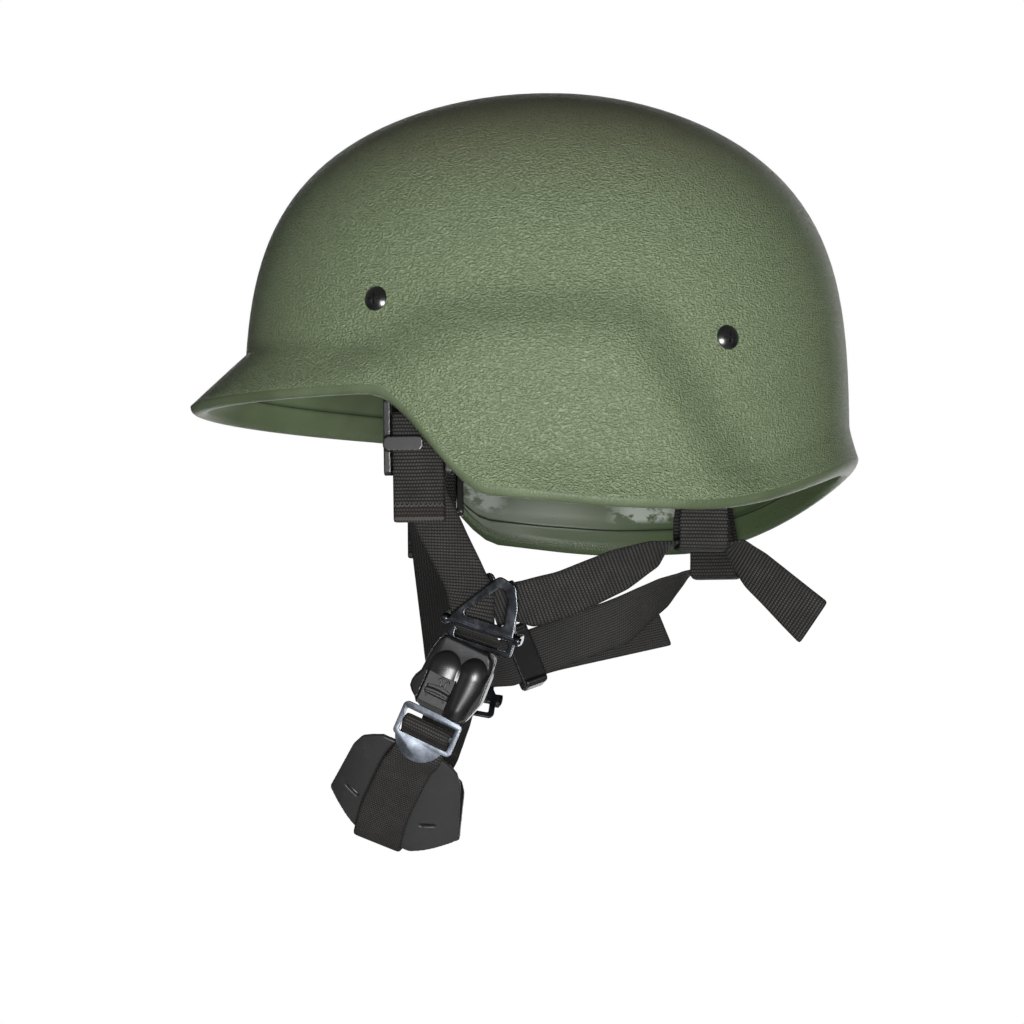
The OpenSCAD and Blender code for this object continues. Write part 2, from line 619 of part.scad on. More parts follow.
// Front straps run from the adjusters through the rings; the left one holds the buckle
ring_half = [9.2, 9.6];
strap_bend_y = [-10, -8.6];
strap_bend_half = [10.2, 10];
strap_shift = [0.3, 0];
plate_front = -0.5;
plate_back = -2.5;
top_bar_z = 11.9;
hook_turn = 2.2;
hook_x = plate_back - 2.1;
hook_z = 10.6;
through_half = 9.4;
function strap_top(side) = let(ring = side == 0 ? ring_left : ring_right)
    let(a = station(lock, strap_foot, half_web))
    let(b = station(lock, strap_foot - [0, 0, 5], half_web))
    let(c = [world(ring, [-2.8, strap_bend_y[side], 14]), turned(ring[1], [0, strap_bend_half[side], 2.5])])
    let(d = station(ring, ring_strap - [0, strap_shift[side], 0], ring_half[side]))
    concat([a, b], between(b, c, 7), [c], between(c, d, 3), [d]);
module front_strap_left() color(webbing_black) {
    into = stations(ring_left, [[-3.2, -2.9, -1.6], [-5.6, -1.5, -3.7], [-9.2, -1.2, -5.1]], through_half);
    hook = stations(buckle, concat([[hook_x, 0, hook_z + hook_turn + 2.6]],
        arc(hook_x + hook_turn, hook_z + hook_turn, hook_turn, 180, 270, 6),
        [[plate_front + 0.3, 0, hook_z]]), through_half);
    path = concat(strap_top(0), into, between(into[2], hook[0], 2), hook);
    ribbon(path, web_t);
}
lap_dir = unit([-0.5, -0.27, -0.82]);
lap_len = 17;
lap_start = world(ring_right, ring_strap) + 12 * unit([-0.16, -0.28, -0.94]);
module front_strap_right() color(webbing_black) mirror([1, 0, 0])
    ribbon(concat(strap_top(1),
        [for (k = [0:3]) [lap_start + lap_dir * lap_len * k / 3, lap_side * half_web]]), web_t);
fold_dir = unit([0, 0.927, -0.375]);
lap_side = unit(fold_dir - lap_dir * (fold_dir * lap_dir));

// Triangular rings: a rear plate with lugs, and a front gate hinged between them
lug_y = 14.4;
lug_w = 2.2;
lug_r = 2.2;
ring_half_w = ring_w / 2;
loop_half = 11.3;
loop_low = -9.2;
bar_w = 2.2;
function rear_apex(side) = [apex_y[side], ring_h - 4];
module ring_rear(side) {
    c = rear_apex(side);
    foot = ring_half_w - 2.4;
    out = round_outline([[-foot, 0], [foot, 0], c], 2.4);
    inn = round_outline([[2.6 - foot, 2.4], [foot - 2.6, 2.4], c - [0, 2.8]], 0.9);
    difference() {
        plate(out, rear_x0, rear_x1);
        plate(inn, rear_x0 - 1, rear_x1 + 1);
    }
    difference() {
        plate(round_box(-ring_half_w, ring_half_w, loop_low, 1, 2.2), rear_x0, rear_x1);
        plate(round_box(-loop_half, loop_half, loop_low + bar_w, -1.6, 1), rear_x0 - 1, rear_x1 + 1);
        block(rear_x0 - 1, rear_x1 + 1, -foot + 3, foot - 3, 0.6, 3);
    }
    for (q = [-1, 1]) difference() {
        y = q * (lug_y + lug_w / 2);
        union() {
            side_plate(round_outline([[rear_x0 + lug_r, 0], [0, 0], [0, 0.01]], lug_r, 8),
                y - lug_w / 2, y + lug_w / 2);
            block(rear_x0, rear_x1, min(y, q * 12), max(y, q * 12), -lug_r, 1.6);
        }
        bar(stud_r + stud_gap, 0, 0, 20);
    }
}
module ring_gate() {
    foot = ring_half_w - 2.5;
    outer = [[-foot, 1.4], [foot, 1.4], [foot - 1.2, 12], [foot - 4, ring_h - 4.4], [2.2, ring_h - 3.2]];
    inner = [[4.2 - foot, 4.9], [foot - 3.9, 4.9], [foot - 5.1, 13.6],
        [foot - 6.7, ring_h - 7.4], [3.4, ring_h - 6.6]];
    difference() {
        plate(round_outline(outer, 2.4), -ring_t / 2, ring_t / 2);
        plate(round_outline(inner, 1.3), -ring_t, ring_t);
    }
    bar(stud_r, 0, 0, lug_y + lug_w + 0.6);
}
module ring_frame_left() color(gunmetal) at(ring_left) ring_rear(0);
module ring_frame_right() color(gunmetal) mirror([1, 0, 0]) at(ring_right) ring_rear(1);
module ring_gate_left() color(gunmetal) at(ring_left) ring_gate();
module ring_gate_right() color(gunmetal) mirror([1, 0, 0]) at(ring_right) ring_gate();

// Nape straps: round the rear plate's leg, then back to the rear loops
nape_half = 8;
function leg_mid(side) = mix([ring_half_w - 2.4, 0], rear_apex(side), 0.527);
function leg_out(side) = let(v = unit(rear_apex(side) - [ring_half_w - 2.4, 0])) [v[1], -v[0]];
function leg_station(side, x, e, half = nape_half) =
    let(ring = side == 0 ? ring_left : ring_right, m = leg_mid(side), o = leg_out(side))
    [world(ring, [x, m[0] + o[0] * e, m[1] + o[1] * e]),
        turned(ring[1], [0, -o[1] * half, o[0] * half])];
function leg_turn(side, a0, a1) = [for (k = [0:8]) let(a = mix(a0, a1, k / 8))
    leg_station(side, nape_x + nape_r * sin(a), -0.9 - nape_r * cos(a))];
loop_half_w = 7.4;
loop_corner = 3.2;
nape_rest = 11;
loop_x = dome_half_w - loop_inset;
left_loop = [[loop_x, 56.8, -loop_drop], [0, 0, 9]];
right_loop = [[loop_x - 8, 66.2, -loop_drop], [0, 0, 10]];
// Where a nape strap lies on the floor of a rear loop, ahead of it or behind
function on_floor(f, y) = [world(f, [0, y, loop_drop - nape_rest]), turned(f[1], [5.2, 0, 0])];
module nape_strap_left() color(webbing_black) {
    back = [leg_station(0, nape_x - nape_r + 0.6, 9), leg_station(0, nape_x - nape_r, 4)];
    out = [leg_station(0, nape_x + nape_r, 4), [[loop_x + 0.4, -14, -35.4], [3.4, -3.2, 9.1]]];
    a = [[loop_x, 2, -31.2], [4.6, -3.8, 8.6]];
    b = [[loop_x + 1.5, 24, -21.6], [6.2, -3.2, 7.6]];
    c = [[loop_x + 2.8, 38, -loop_drop - 1.2], [7.6, -1.6, 4.4]];
    d = [[loop_x - 2.9, 71.5, -loop_drop + 0.4], [7.4, 2.4, 4]];
    e = [[loop_x - 2.1, 79, -loop_drop - 7.5], [6.4, 4, 6.4]];
    path = concat(back, leg_turn(0, -90, 90), out, between(out[1], a, 3), [a], between(a, b, 4), [b],
        between(b, c, 3), [c, on_floor(left_loop, -11.5), on_floor(left_loop, 11)],
        between(on_floor(left_loop, 11), d, 2), [d], between(d, e, 2), [e], nape_end(e));
    ribbon(path, web_t);
}
nape_hang = 22;
function nape_end(from) = let(dir = unit([0.1, 0.73, -0.68]))
    [for (k = [1:3]) let(t = k / 3)
        [from[0] + dir * (nape_tail - nape_hang) * t, mix(from[1], [4.6, 5.6, 8.2], t)]];
slider_e = 20.5;
module nape_strap_right() color(webbing_black) mirror([1, 0, 0]) {
    inner_x = nape_x - nape_r;
    outer_x = nape_x + nape_r;
    at_slider = leg_station(1, nape_x, slider_e, half_web);
    n = unit(cross(at_slider[1], leg_station(1, nape_x, slider_e + 1)[0] - at_slider[0]));
    pair = (web_t + soft_gap) / 2;
    wrap = leg_turn(1, 90, -90);
    tail_in = [for (e = [slider_e - 9, slider_e, slider_e + 9])
        leg_station(1, nape_x + pair, e, half_web)];
    main_in = [for (e = [slider_e - 9, slider_e, slider_e + 9])
        leg_station(1, nape_x - pair, e, half_web)];
    tail_dir = unit([0.2, 0.955, 0.225]);
    tail = flipped([for (k = [1:4]) [tail_in[2][0] + tail_dir * 13.8 * k, tail_in[2][1] * 0.98]]);
    a = [[loop_x - 2, 25, -31.5], [-3, -4, 9.2]];
    b = [[loop_x, 44, -19], [-7, -2, 5.4]];
    rest = [on_floor(right_loop, -11.5)[0], -on_floor(right_loop, -11.5)[1]];
    end = [on_floor(right_loop, 14)[0], rest[1]];
    ribbon(concat(tail, flipped(tail_in), [leg_station(1, outer_x, 4)], wrap,
        [leg_station(1, inner_x, 4)], main_in, between(main_in[2], a, 3), [a], between(a, b, 4), [b],
        between(b, rest, 3), [rest, end]), web_t);
}

// Slider that keeps the right nape strap's two plies together
slider_l = 11;
slider_wall = 1.5;
module nape_slider() color(black_plastic) mirror([1, 0, 0]) {
    mid = leg_mid(1) + leg_out(1) * slider_e;
    tilt = atan2(leg_out(1)[1], leg_out(1)[0]);
    passage = web_t + soft_gap * 1.5 + (web_t + soft_gap) / 2 - 0.35;
    thick = passage + slider_wall;
    at([world(ring_right, [nape_x, mid[0], mid[1]]), ring_right[1]]) rotate([tilt, 0, 0]) difference() {
        union() {
            plate(round_box(-slider_l / 2, slider_l / 2, -half_web - 3.4, half_web + 3.4, 2),
                -thick, thick);
            bar(1.2, -thick, -half_web - 1.6, slider_l / 2 - 1);
            bar(1.2, -thick, half_web + 1.6, slider_l / 2 - 1);
        }
        block(-passage, passage, -20, 20, -half_web - 0.7, half_web + 0.7);
    }
}

// Rear loops hang from the rear clips and carry the nape straps
module rear_loop(f, roll) {
    foot = rolled(rear_screw, roll);
    x = clip_x(rear_depth);
    a = loop_half_w - loop_corner;
    low = web_t / 2 + loop_corner;
    over = stations(foot, concat([[x + ply, 0, clip_low]], arc(x, clip_turn, ply, 0, 180),
        [[x - ply, 0, clip_low]]), half_web - 2.9);
    under = stations(f, concat([[-loop_half_w, 0, low + 8]], arc(-a, low, loop_corner, 180, 270, 5),
        arc(a, low, loop_corner, 270, 360, 5), [[loop_half_w, 0, low + 8]]), half_web - 0.5);
    n = len(under) - 1;
    ribbon(concat(over, between(over[10], under[0], 5), under, between(under[n], over[0], 5)),
        web_t, true);
}
module rear_loop_left() color(webbing_black) rear_loop(left_loop, clip_roll_left);
module rear_loop_right() color(webbing_black) mirror([1, 0, 0]) rear_loop(right_loop, clip_roll_right);

// Buckle: base, cover, sprung release slide and the socket for the steel tongue
body_top = 9;
body_low = -buckle_l / 2;
buckle_half = buckle_w / 2;
body_outline = round_outline([
    [3 - buckle_half, body_top - 3], [4.4 - buckle_half, body_low + 3],
    [buckle_half - 5.2, body_low + 3], [buckle_half - 2.6, -5], [buckle_half - 3, body_top - 3]], 3);
bump_outline = round_outline([
    [2.6 - buckle_half, -4], [2.2 - buckle_half, -9.5], [0, -9.5], [0, -4]], 3.4);
top_outline = round_outline([
    [3 - buckle_half, 4], [buckle_half - 3, 4],
    [buckle_half - 4, buckle_l / 2 - 3], [4 - buckle_half, buckle_l / 2 - 3]], 3);
socket_half = 8.2;
socket_x = tongue_t / 2 + 0.25;
base_back = -buckle_d / 2 + 0.5;
split_x = 1.4;
module buckle_base() color(black_plastic) at(buckle) difference() {
    union() {
        plate(body_outline, base_back, split_x);
        plate(bump_outline, base_back, split_x);
        plate(top_outline, plate_back, plate_front);
    }
    block(-socket_x, 9, -socket_half + tongue_y, socket_half + tongue_y, body_low - 1, -1.5);
    block(-9, 9, -slot_half, slot_half, body_top + 0.4, top_bar_z);
}
slide_y = -slide_shift;
channel_half = slide_w / 2 + 0.25;
channel_x0 = 2.2;
channel_x1 = 4.6;
channel_end = slide_travel + 2;
window_top = 0;
cover_face = 4.6;
module capsule(r, x, y, z0, z1) {
    translate([x, y, z0]) cylinder(h = z1 - z0, r = r);
    translate([x, y, z0]) sphere(r);
    translate([x, y, z1]) sphere(r);
}
hood_outline = round_box(
    slide_y - channel_half - 1.2, slide_y + channel_half + 1.2, window_top, channel_end + 1.4, 2);
module buckle_cover() color(black_plastic) at(buckle) difference() {
    intersection() {
        union() {
            plate(body_outline, split_x + 0.05, cover_face - 1);
            plate(bump_outline, split_x + 0.05, cover_face - 2);
            capsule(6.4, -0.8, slide_y, -4, body_top - 6.4);
            capsule(5.4, 1, buckle_half - 6.2, -10.4, body_top - 5.4);
            plate(hood_outline, split_x + 0.05, channel_x1 + 1);
        }
        union() {
            plate(body_outline, split_x + 0.05, 12);
            plate(bump_outline, split_x + 0.05, 12);
        }
    }
    translate([0, slide_y, 0]) {
        block(channel_x0, channel_x1, -channel_half, channel_half, body_low - 1, channel_end);
        block(channel_x0, 12, -channel_half, channel_half, body_low - 1, window_top);
    }
}
slide_x0 = channel_x0 + 0.15;
slide_x1 = 4.35;
slide_low = -13.6;
slide_top = channel_end - slide_travel - 0.3;
spring_half = 1.5;
spring_low = -6;
grip_low = -9.6;
module release_slide() color(black_plastic) at(buckle) translate([0, slide_y, 0]) difference() {
    grip = [[slide_x1 - 0.4, grip_low], [slide_x1 + 1.3, grip_low + 0.4],
        [slide_x1 + 1.3, grip_low + 1.4], [slide_x1 - 0.4, grip_low + 3]];
    union() {
        block(slide_x0, slide_x1, -slide_w / 2, slide_w / 2, slide_low, slide_top);
        side_plate(grip, 1 - slide_w / 2, slide_w / 2 - 1);
    }
    block(slide_x0 + 0.35, slide_x1 - 0.35, -spring_half - 0.2, spring_half + 0.2,
        spring_low, slide_top + 1);
    arrow_cut();
}
arrow = [[0, -1], [2, -3], [0.8, -3], [0.8, -5.6], [-0.8, -5.6], [-0.8, -3], [-2, -3]];
module arrow_cut() plate(arrow, slide_x1 - 0.3, slide_x1 + 1);
spring_wire = 0.45;
spring_turns = 9;
spring_z0 = spring_low + 0.15;
spring_z1 = channel_end - 0.15;
function zigzag(side) = [for (k = [0:spring_turns])
    [(k % 2 == 0 ? -1 : 1) * (spring_half - 0.5), mix(spring_z0 + 0.5, spring_z1 - 0.5, k / spring_turns)
        + side * spring_wire / 2 * 1.3]];
spring_x = (slide_x0 + slide_x1) / 2;
spring_half_t = 0.35;
module release_spring() color(gunmetal) at(buckle) translate([0, slide_y, 0])
    plate(concat(flipped(zigzag(1)), zigzag(-1)), spring_x - spring_half_t, spring_x + spring_half_t);

// Steel tongue with the chin strap's adjuster frame and its thumb tab
tongue_bar = -24;
steel_top = body_low - 0.6;
steel_low = -28.9;
tab_r = 11;
module tongue_plate() color(gunmetal) at(buckle) translate([0, tongue_y, 0]) difference() {
    union() {
        plate(round_box(-tongue_w / 2, tongue_w / 2, steel_low - 2.2, steel_top, 2),
            -tongue_t / 2, tongue_t / 2);
        plate(round_box(1.2 - socket_half, socket_half - 1.2, steel_top - 3, -3, 1),
            -tongue_t / 2, tongue_t / 2);
        translate([0, -1, steel_low + 1.4]) rod(tab_r, -tongue_t / 2, tongue_t / 2);
    }
    plate(round_box(-slot_half, slot_half, tongue_bar + 1.1, steel_top - 2.6, 0.8), -3, 3);
    plate(round_box(-slot_half, slot_half, steel_low - 0.3, tongue_bar - 1.1, 0.8), -3, 3);
    block(-3, 3, -3, 3, -8, -5.4);
}

// Chin strap: round the tongue's bar, under the chin and up to the right front strap
strap_fold = [0, -cup_y + 1, 1 - cup_drop];
fold_round = 6;
strap_near = [-1.9, tongue_y, -36];
lap_gap = web_t + soft_gap;
function vee(fold, reach, s) = let(r = sqrt(s * s + fold_round * fold_round) - fold_round)
    [fold[0] + reach[0] * s, fold[1] + reach[1] * r, fold[2] + reach[2] * r];
function strap_sway(k) = lookup(k, [[-0.55, 0], [-0.2, 2.2], [0, 3], [0.4, 4.4], [0.85, 2.2]]);
function chin_run() =
    let(v = world(buckle, strap_near) - strap_fold, l = norm(v))
    let(r = sqrt(l * l + fold_round * fold_round) - fold_round, reach = [v[0] / l, v[1] / r, v[2] / r])
    [for (k = [0.85, 0.6, 0.36, 0.2, 0.12, 0.06, 0, -0.06, -0.12, -0.2, -0.36, -0.55, -0.72])
        [vee(strap_fold, reach, l * k) - fold_dir * strap_sway(k), fold_dir * half_web]];
function lap_line(t) =
    let(p = lap_start + lap_dir * lap_len * (1 - 0.9 * t), n = unit(cross(lap_side, lap_dir)))
    let(q = p + n * sign(n[0]) * lap_gap, w = lap_side * half_web)
    [[-q[0], q[1], q[2]], [-w[0], w[1], w[2]]];
module chin_strap() color(webbing_black) {
    tail = stations(buckle,
        [for (p = [[-4.2, -33], [-4.2, -28], [-2.9, -25.4]]) [p[0], tongue_y, p[1]]], half_web);
    wrap = stations(buckle, arc(0, tongue_bar, 2.3, 180, 0, 8, tongue_y), half_web);
    main = stations(buckle, [for (p = [[2.1, -25.5], [0.2, -26.9], [-1.9, -28.6], [-1.9, -31]])
        [p[0], tongue_y, p[1]]], half_web);
    near = [world(buckle, strap_near), turned(buckle[1], [0, half_web, 0])];
    ribbon(concat(tail, wrap, main, [near], chin_run(),
        [for (k = [0:4]) lap_line(k / 4)]), web_t);
}

// Chin cup: a folded rubber sheet with two flaps to each side
cup_fold = strap_fold + 2.3 * [0, 0.375, 0.927];
cup_lead = [-5.6, -1.7, 5.2];
cup_top = world(buckle, strap_near) + cup_lead;
cup_dir = unit(cup_top - cup_fold);
function cup_half(q) = lookup(q, [[0, fold_half_w - 1], [3, fold_half_w + 0.5], [17, cup_half_w],
    [50, cup_half_w - 5], [57, cup_half_w - 7.5], [61, 17], [64, 12.5]]);
cup_steps = [64, 61, 57, 53.5, 50, 42, 34, 25, 17, 12, 7, 3, 0];
cup_cols = 10;
cup_curl = 6;
function cup_point(s, t, side) =
    let(r = sqrt(s * s + fold_round * fold_round), k = s / r)
    let(n = unit(cross(fold_dir, [cup_dir[0], cup_dir[1] * k, cup_dir[2] * k])))
    let(w = cup_half(abs(s)), lift = cup_curl * pow(max(abs(t) * w - 9, 0) / 20, 2))
    vee(cup_fold, cup_dir, s) + fold_dir * t * w - n * lift + n * side * cup_t / 2;
module cup_sheet() {
    rows = concat(cup_steps, [for (i = [len(cup_steps) - 2:-1:0]) -cup_steps[i]]);
    rings = [for (s = rows) concat(
        [for (k = [0:cup_cols]) cup_point(s, 2 * k / cup_cols - 1, 1)],
        [for (k = [cup_cols:-1:0]) cup_point(s, 2 * k / cup_cols - 1, -1)])];
    n = len(rings[0]);
    m = len(rings);
    function id(r, i) = r * n + (i + n) % n;
    function twin(k) = n - 1 - k;
    faces = concat(
        [for (r = [0:m - 2], i = [0:n - 1]) [id(r, i), id(r + 1, i + 1), id(r + 1, i)]],
        [for (r = [0:m - 2], i = [0:n - 1]) [id(r, i), id(r, i + 1), id(r + 1, i + 1)]],
        [for (k = [0:cup_cols - 1]) each [[id(0, k), id(0, twin(k + 1)), id(0, k + 1)],
            [id(0, k), id(0, twin(k)), id(0, twin(k + 1))],
            [id(m - 1, k), id(m - 1, k + 1), id(m - 1, twin(k + 1))],
            [id(m - 1, k), id(m - 1, twin(k + 1)), id(m - 1, twin(k))]]]);
    polyhedron([for (r = rings) each r], faces);
}
cup_slots = [[24.9, -19, 42], [23, 15.2, -104]];
slot_l = 7;
slot_w = 1.8;
module cup_slot(q, t, a) {
    p = cup_point(q, t / cup_half(q), 0);
    n = unit(cup_point(q, t / cup_half(q), 1) - p);
    at([p, [a, -asin(n[2]), atan2(n[1], n[0])]])
        plate(round_box(-slot_w / 2, slot_w / 2, -slot_l / 2, slot_l / 2, 0.6), -4, 4);
}
module chin_cup() color(rubber_grey) difference() {
    cup_sheet();
    both_sides() for (c = cup_slots) cup_slot(c[0], c[1], c[2]);
}

shell();
shell_screws();
screw_posts();
spacers();
hanger_clips();
suspension_band();
crown_straps();
crown_lace();
headband();
headband_foam();
headband_clips();
headband_tab();
front_hanger_left();
front_hanger_right();
strap_adjuster_left();
strap_adjuster_right();
front_tail_left();
front_tail_right();
front_strap_left();
front_strap_right();
ring_frame_left();
ring_frame_right();
ring_gate_left();
ring_gate_right();
nape_strap_left();
nape_strap_right();
nape_slider();
rear_loop_left();
rear_loop_right();
buckle_cover();
buckle_base();
release_slide();
release_spring();
tongue_plate();
chin_strap();
chin_cup();
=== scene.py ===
"""The looks of a combat helmet and its chinstrap harness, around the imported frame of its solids."""

import logging
import math
from dataclasses import dataclass, field
from enum import Enum
from typing import Callable, Optional, Sequence, Union

import bmesh
import bpy
from mathutils import Euler, Matrix, Vector


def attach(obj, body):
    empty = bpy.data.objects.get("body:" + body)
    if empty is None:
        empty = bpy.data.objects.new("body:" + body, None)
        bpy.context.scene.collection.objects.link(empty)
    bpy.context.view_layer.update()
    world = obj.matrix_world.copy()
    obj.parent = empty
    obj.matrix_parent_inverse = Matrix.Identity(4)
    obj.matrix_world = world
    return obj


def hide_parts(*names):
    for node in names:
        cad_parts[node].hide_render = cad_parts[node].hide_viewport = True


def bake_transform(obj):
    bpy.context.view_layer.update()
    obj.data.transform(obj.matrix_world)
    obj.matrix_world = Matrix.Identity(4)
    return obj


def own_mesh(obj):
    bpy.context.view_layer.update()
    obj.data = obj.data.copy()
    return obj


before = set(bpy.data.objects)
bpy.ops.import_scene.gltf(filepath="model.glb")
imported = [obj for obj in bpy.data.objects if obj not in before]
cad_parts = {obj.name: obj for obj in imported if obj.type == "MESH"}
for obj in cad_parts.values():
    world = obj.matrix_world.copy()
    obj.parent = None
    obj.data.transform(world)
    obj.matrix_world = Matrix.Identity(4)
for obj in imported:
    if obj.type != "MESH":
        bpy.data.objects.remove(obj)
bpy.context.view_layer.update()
LOG = logging.getLogger("helmet")
MM = 0.001
WELD = 0.00001  # metres; a sheet's points nearer than this become one
WELD_CAD = 0.000004  # the same for a copied CAD mesh
CLOTH = "cloth"  # the UV layer of sheets, in metres across and along
SIDES = (("left", False), ("right", True))  # and whether a side is the mirrored one
Form = bmesh.types.BMesh
Material = bpy.types.Material
Object = bpy.types.Object
Colour = tuple[float, float, float]
Spot = tuple[float, float, float]
Pair = tuple[float, float]
Number = Union[float, "Value"]
WHITE: Colour = (1.0, 1.0, 1.0)


def srgb(red: float, green: float, blue: float) -> Colour:
    """A linear colour from screen values of 0 to 255."""
    return tuple(
        c / 12.92 if c <= 0.04045 else ((c + 0.055) / 1.055) ** 2.4
        for c in (red / 255, green / 255, blue / 255)
    )


def ease(low: float, high: float, x: float) -> float:
    """A smooth step from 0 at low to 1 at high."""
    s = min(max((x - low) / (high - low), 0.0), 1.0)
    return s * s * (3 - 2 * s)


def between(table: Sequence[Pair], x: float) -> float:
    """The value at x on the straight lines that join a table's (x, value) rows."""
    for (x0, w0), (x1, w1) in zip(table, table[1:]):
        if x <= x1:
            return w0 + (w1 - w0) * (x - x0) / (x1 - x0)
    return table[-1][1]


# ---------------------------------------------------------------- shader maths


@dataclass(frozen=True)
class Value:
    """A tree's socket that takes part in arithmetic, each step of it a Math node."""

    tree: "Tree"
    socket: bpy.types.NodeSocket

    def __abs__(self) -> "Value":
        """The size of self."""
        return self.tree.maths("ABSOLUTE", self)


def operator(operation: str, swapped: bool) -> Callable[[Value, Number], Value]:
    """A Value's method for a Math node's operation, with its two terms swapped or not."""

    def method(self: Value, other: Number) -> Value:
        """The operation's result."""
        return self.tree.maths(operation, *((other, self) if swapped else (self, other)))

    return method


for _name, _operation in (("add", "ADD"), ("sub", "SUBTRACT"), ("mul", "MULTIPLY"), ("truediv", "DIVIDE")):
    setattr(Value, f"__{_name}__", operator(_operation, False))
    setattr(Value, f"__r{_name}__", operator(_operation, True))


class Tree:
    """The nodes of a material or a world, made by a single method and by arithmetic."""

    def __init__(self, owner: Union[Material, bpy.types.World]) -> None:
        """Empties the owner's nodes."""
        owner.use_nodes = True
        self.tree = owner.node_tree
        self.tree.nodes.clear()

    def node(
        self, kind: str, settings: Optional[dict] = None, inputs: Optional[dict] = None
    ) -> bpy.types.Node:
        """Adds a node.

        Args:
            kind: the node's type name, without its ShaderNode start.
            settings: what is set on the node itself.
            inputs: its sockets' numbers, colours or links, by name or index.

        Returns:
            The node.
        """
        made = self.tree.nodes.new("ShaderNode" + kind)
        for key, setting in (settings or {}).items():
            setattr(made, key, setting)
        for key, given in (inputs or {}).items():
            socket = made.inputs[key]
            if isinstance(given, Value):
                self.tree.links.new(given.socket, socket)
            elif isinstance(given, bpy.types.NodeSocket):
                self.tree.links.new(given, socket)
            elif isinstance(given, tuple) and len(socket.default_value) == 4:
                socket.default_value = (*given, 1.0)
            else:
                socket.default_value = given
        return made

    def value(
        self, kind: str, settings: Optional[dict], inputs: dict, output: Union[int, str] = 0
    ) -> Value:
        """Adds a node and gives one of its outputs."""
        return Value(self, self.node(kind, settings, inputs).outputs[output])

    def maths(self, operation: str, *terms: Number, clamp: bool = False) -> Value:
        """A Math node's result for these terms."""
        settings = {"operation": operation, "use_clamp": clamp}
        return self.value("Math", settings, dict(enumerate(terms)))

    def step(self, low: float, high: float, value: Value) -> Value:
        """A smooth step of a value, from 0 at low to 1 at high."""
        inputs = {"Value": value, "From Min": low, "From Max": high}
        return self.value("MapRange", {"interpolation_type": "SMOOTHSTEP"}, inputs)

    def place(self) -> Value:
        """The point's Object coordinates."""
        return self.value("TexCoord", None, {}, "Object")

    def split(self, vector: Value) -> tuple[Value, Value, Value]:
        """A vector's three parts."""
        made = self.node("SeparateXYZ", None, {0: vector})
        return tuple(Value(self, made.outputs[i]) for i in range(3))

    def cloth(self) -> tuple[Value, Value]:
        """The place on a sheet, across it and along it, in metres."""
        across, along, _ = self.split(self.value("UVMap", {"uv_map": CLOTH}, {}))
        return across, along

    def stretched(self, vector: Value, scale: Spot) -> Value:
        """A vector with each part scaled."""
        return self.value("Mapping", {"vector_type": "POINT"}, {"Vector": vector, "Scale": scale})

    def noise(self, vector: Value, scale: float, detail: float = 2.0, roughness: float = 0.5) -> Value:
        """Noise of about 0 to 1, scale in waves to the metre."""
        inputs = {"Vector": vector, "Scale": scale, "Detail": detail, "Roughness": roughness}
        return self.value("TexNoise", None, inputs)

    def warped(self, vector: Value, scale: float, reach: float) -> Value:
        """A vector pushed about by up to about half of reach metres."""
        cloud = self.value("TexNoise", None, {"Vector": vector, "Scale": scale, "Detail": 1.0}, "Color")
        inputs = {0: cloud, 1: (reach,) * 3, 2: vector}
        return self.value("VectorMath", {"operation": "MULTIPLY_ADD"}, inputs)

    def cells(self, vector: Value, scale: float, feature: str = "F1") -> Value:
        """Distance in a pattern of cells."""
        inputs = {"Vector": vector, "Scale": scale}
        return self.value("TexVoronoi", {"feature": feature}, inputs, "Distance")

    def blend(self, share: Number, first: Union[Colour, Value], second: Union[Colour, Value]) -> Value:
        """A colour between two, by share."""
        return self.value("Mix", {"data_type": "RGBA"}, {0: share, 6: first, 7: second}, 2)

    def bump(self, height: Value, distance: float, strength: float = 1.0) -> Value:
        """A normal from a height of 0 to 1 that is distance metres deep."""
        inputs = {"Height": height, "Distance": distance, "Strength": strength}
        return self.value("Bump", None, inputs)


# -------------------------------------------------------------------- finishes


@dataclass(frozen=True)
class Finish:
    """What every finish has: its material's name, and what its shader is given."""

    name: str

    def paint(self, tree: Tree, place: Value) -> dict:
        """The Principled shader's numbers and links by socket name.

        Args:
            tree: the material's nodes.
            place: the point's Object coordinates, in metres.
        """
        raise NotImplementedError

    def build(self) -> Material:
        """Returns the finished material."""
        material = bpy.data.materials.new(self.name)
        tree = Tree(material)
        shader = tree.node("BsdfPrincipled", None, self.paint(tree, tree.place()))
        tree.node("OutputMaterial", None, {"Surface": shader.outputs[0]})
        return material


class Seam(Enum):
    """How a strap's free end is sewn."""

    ZIGZAG = "zigzag"
    ROWS = "rows"


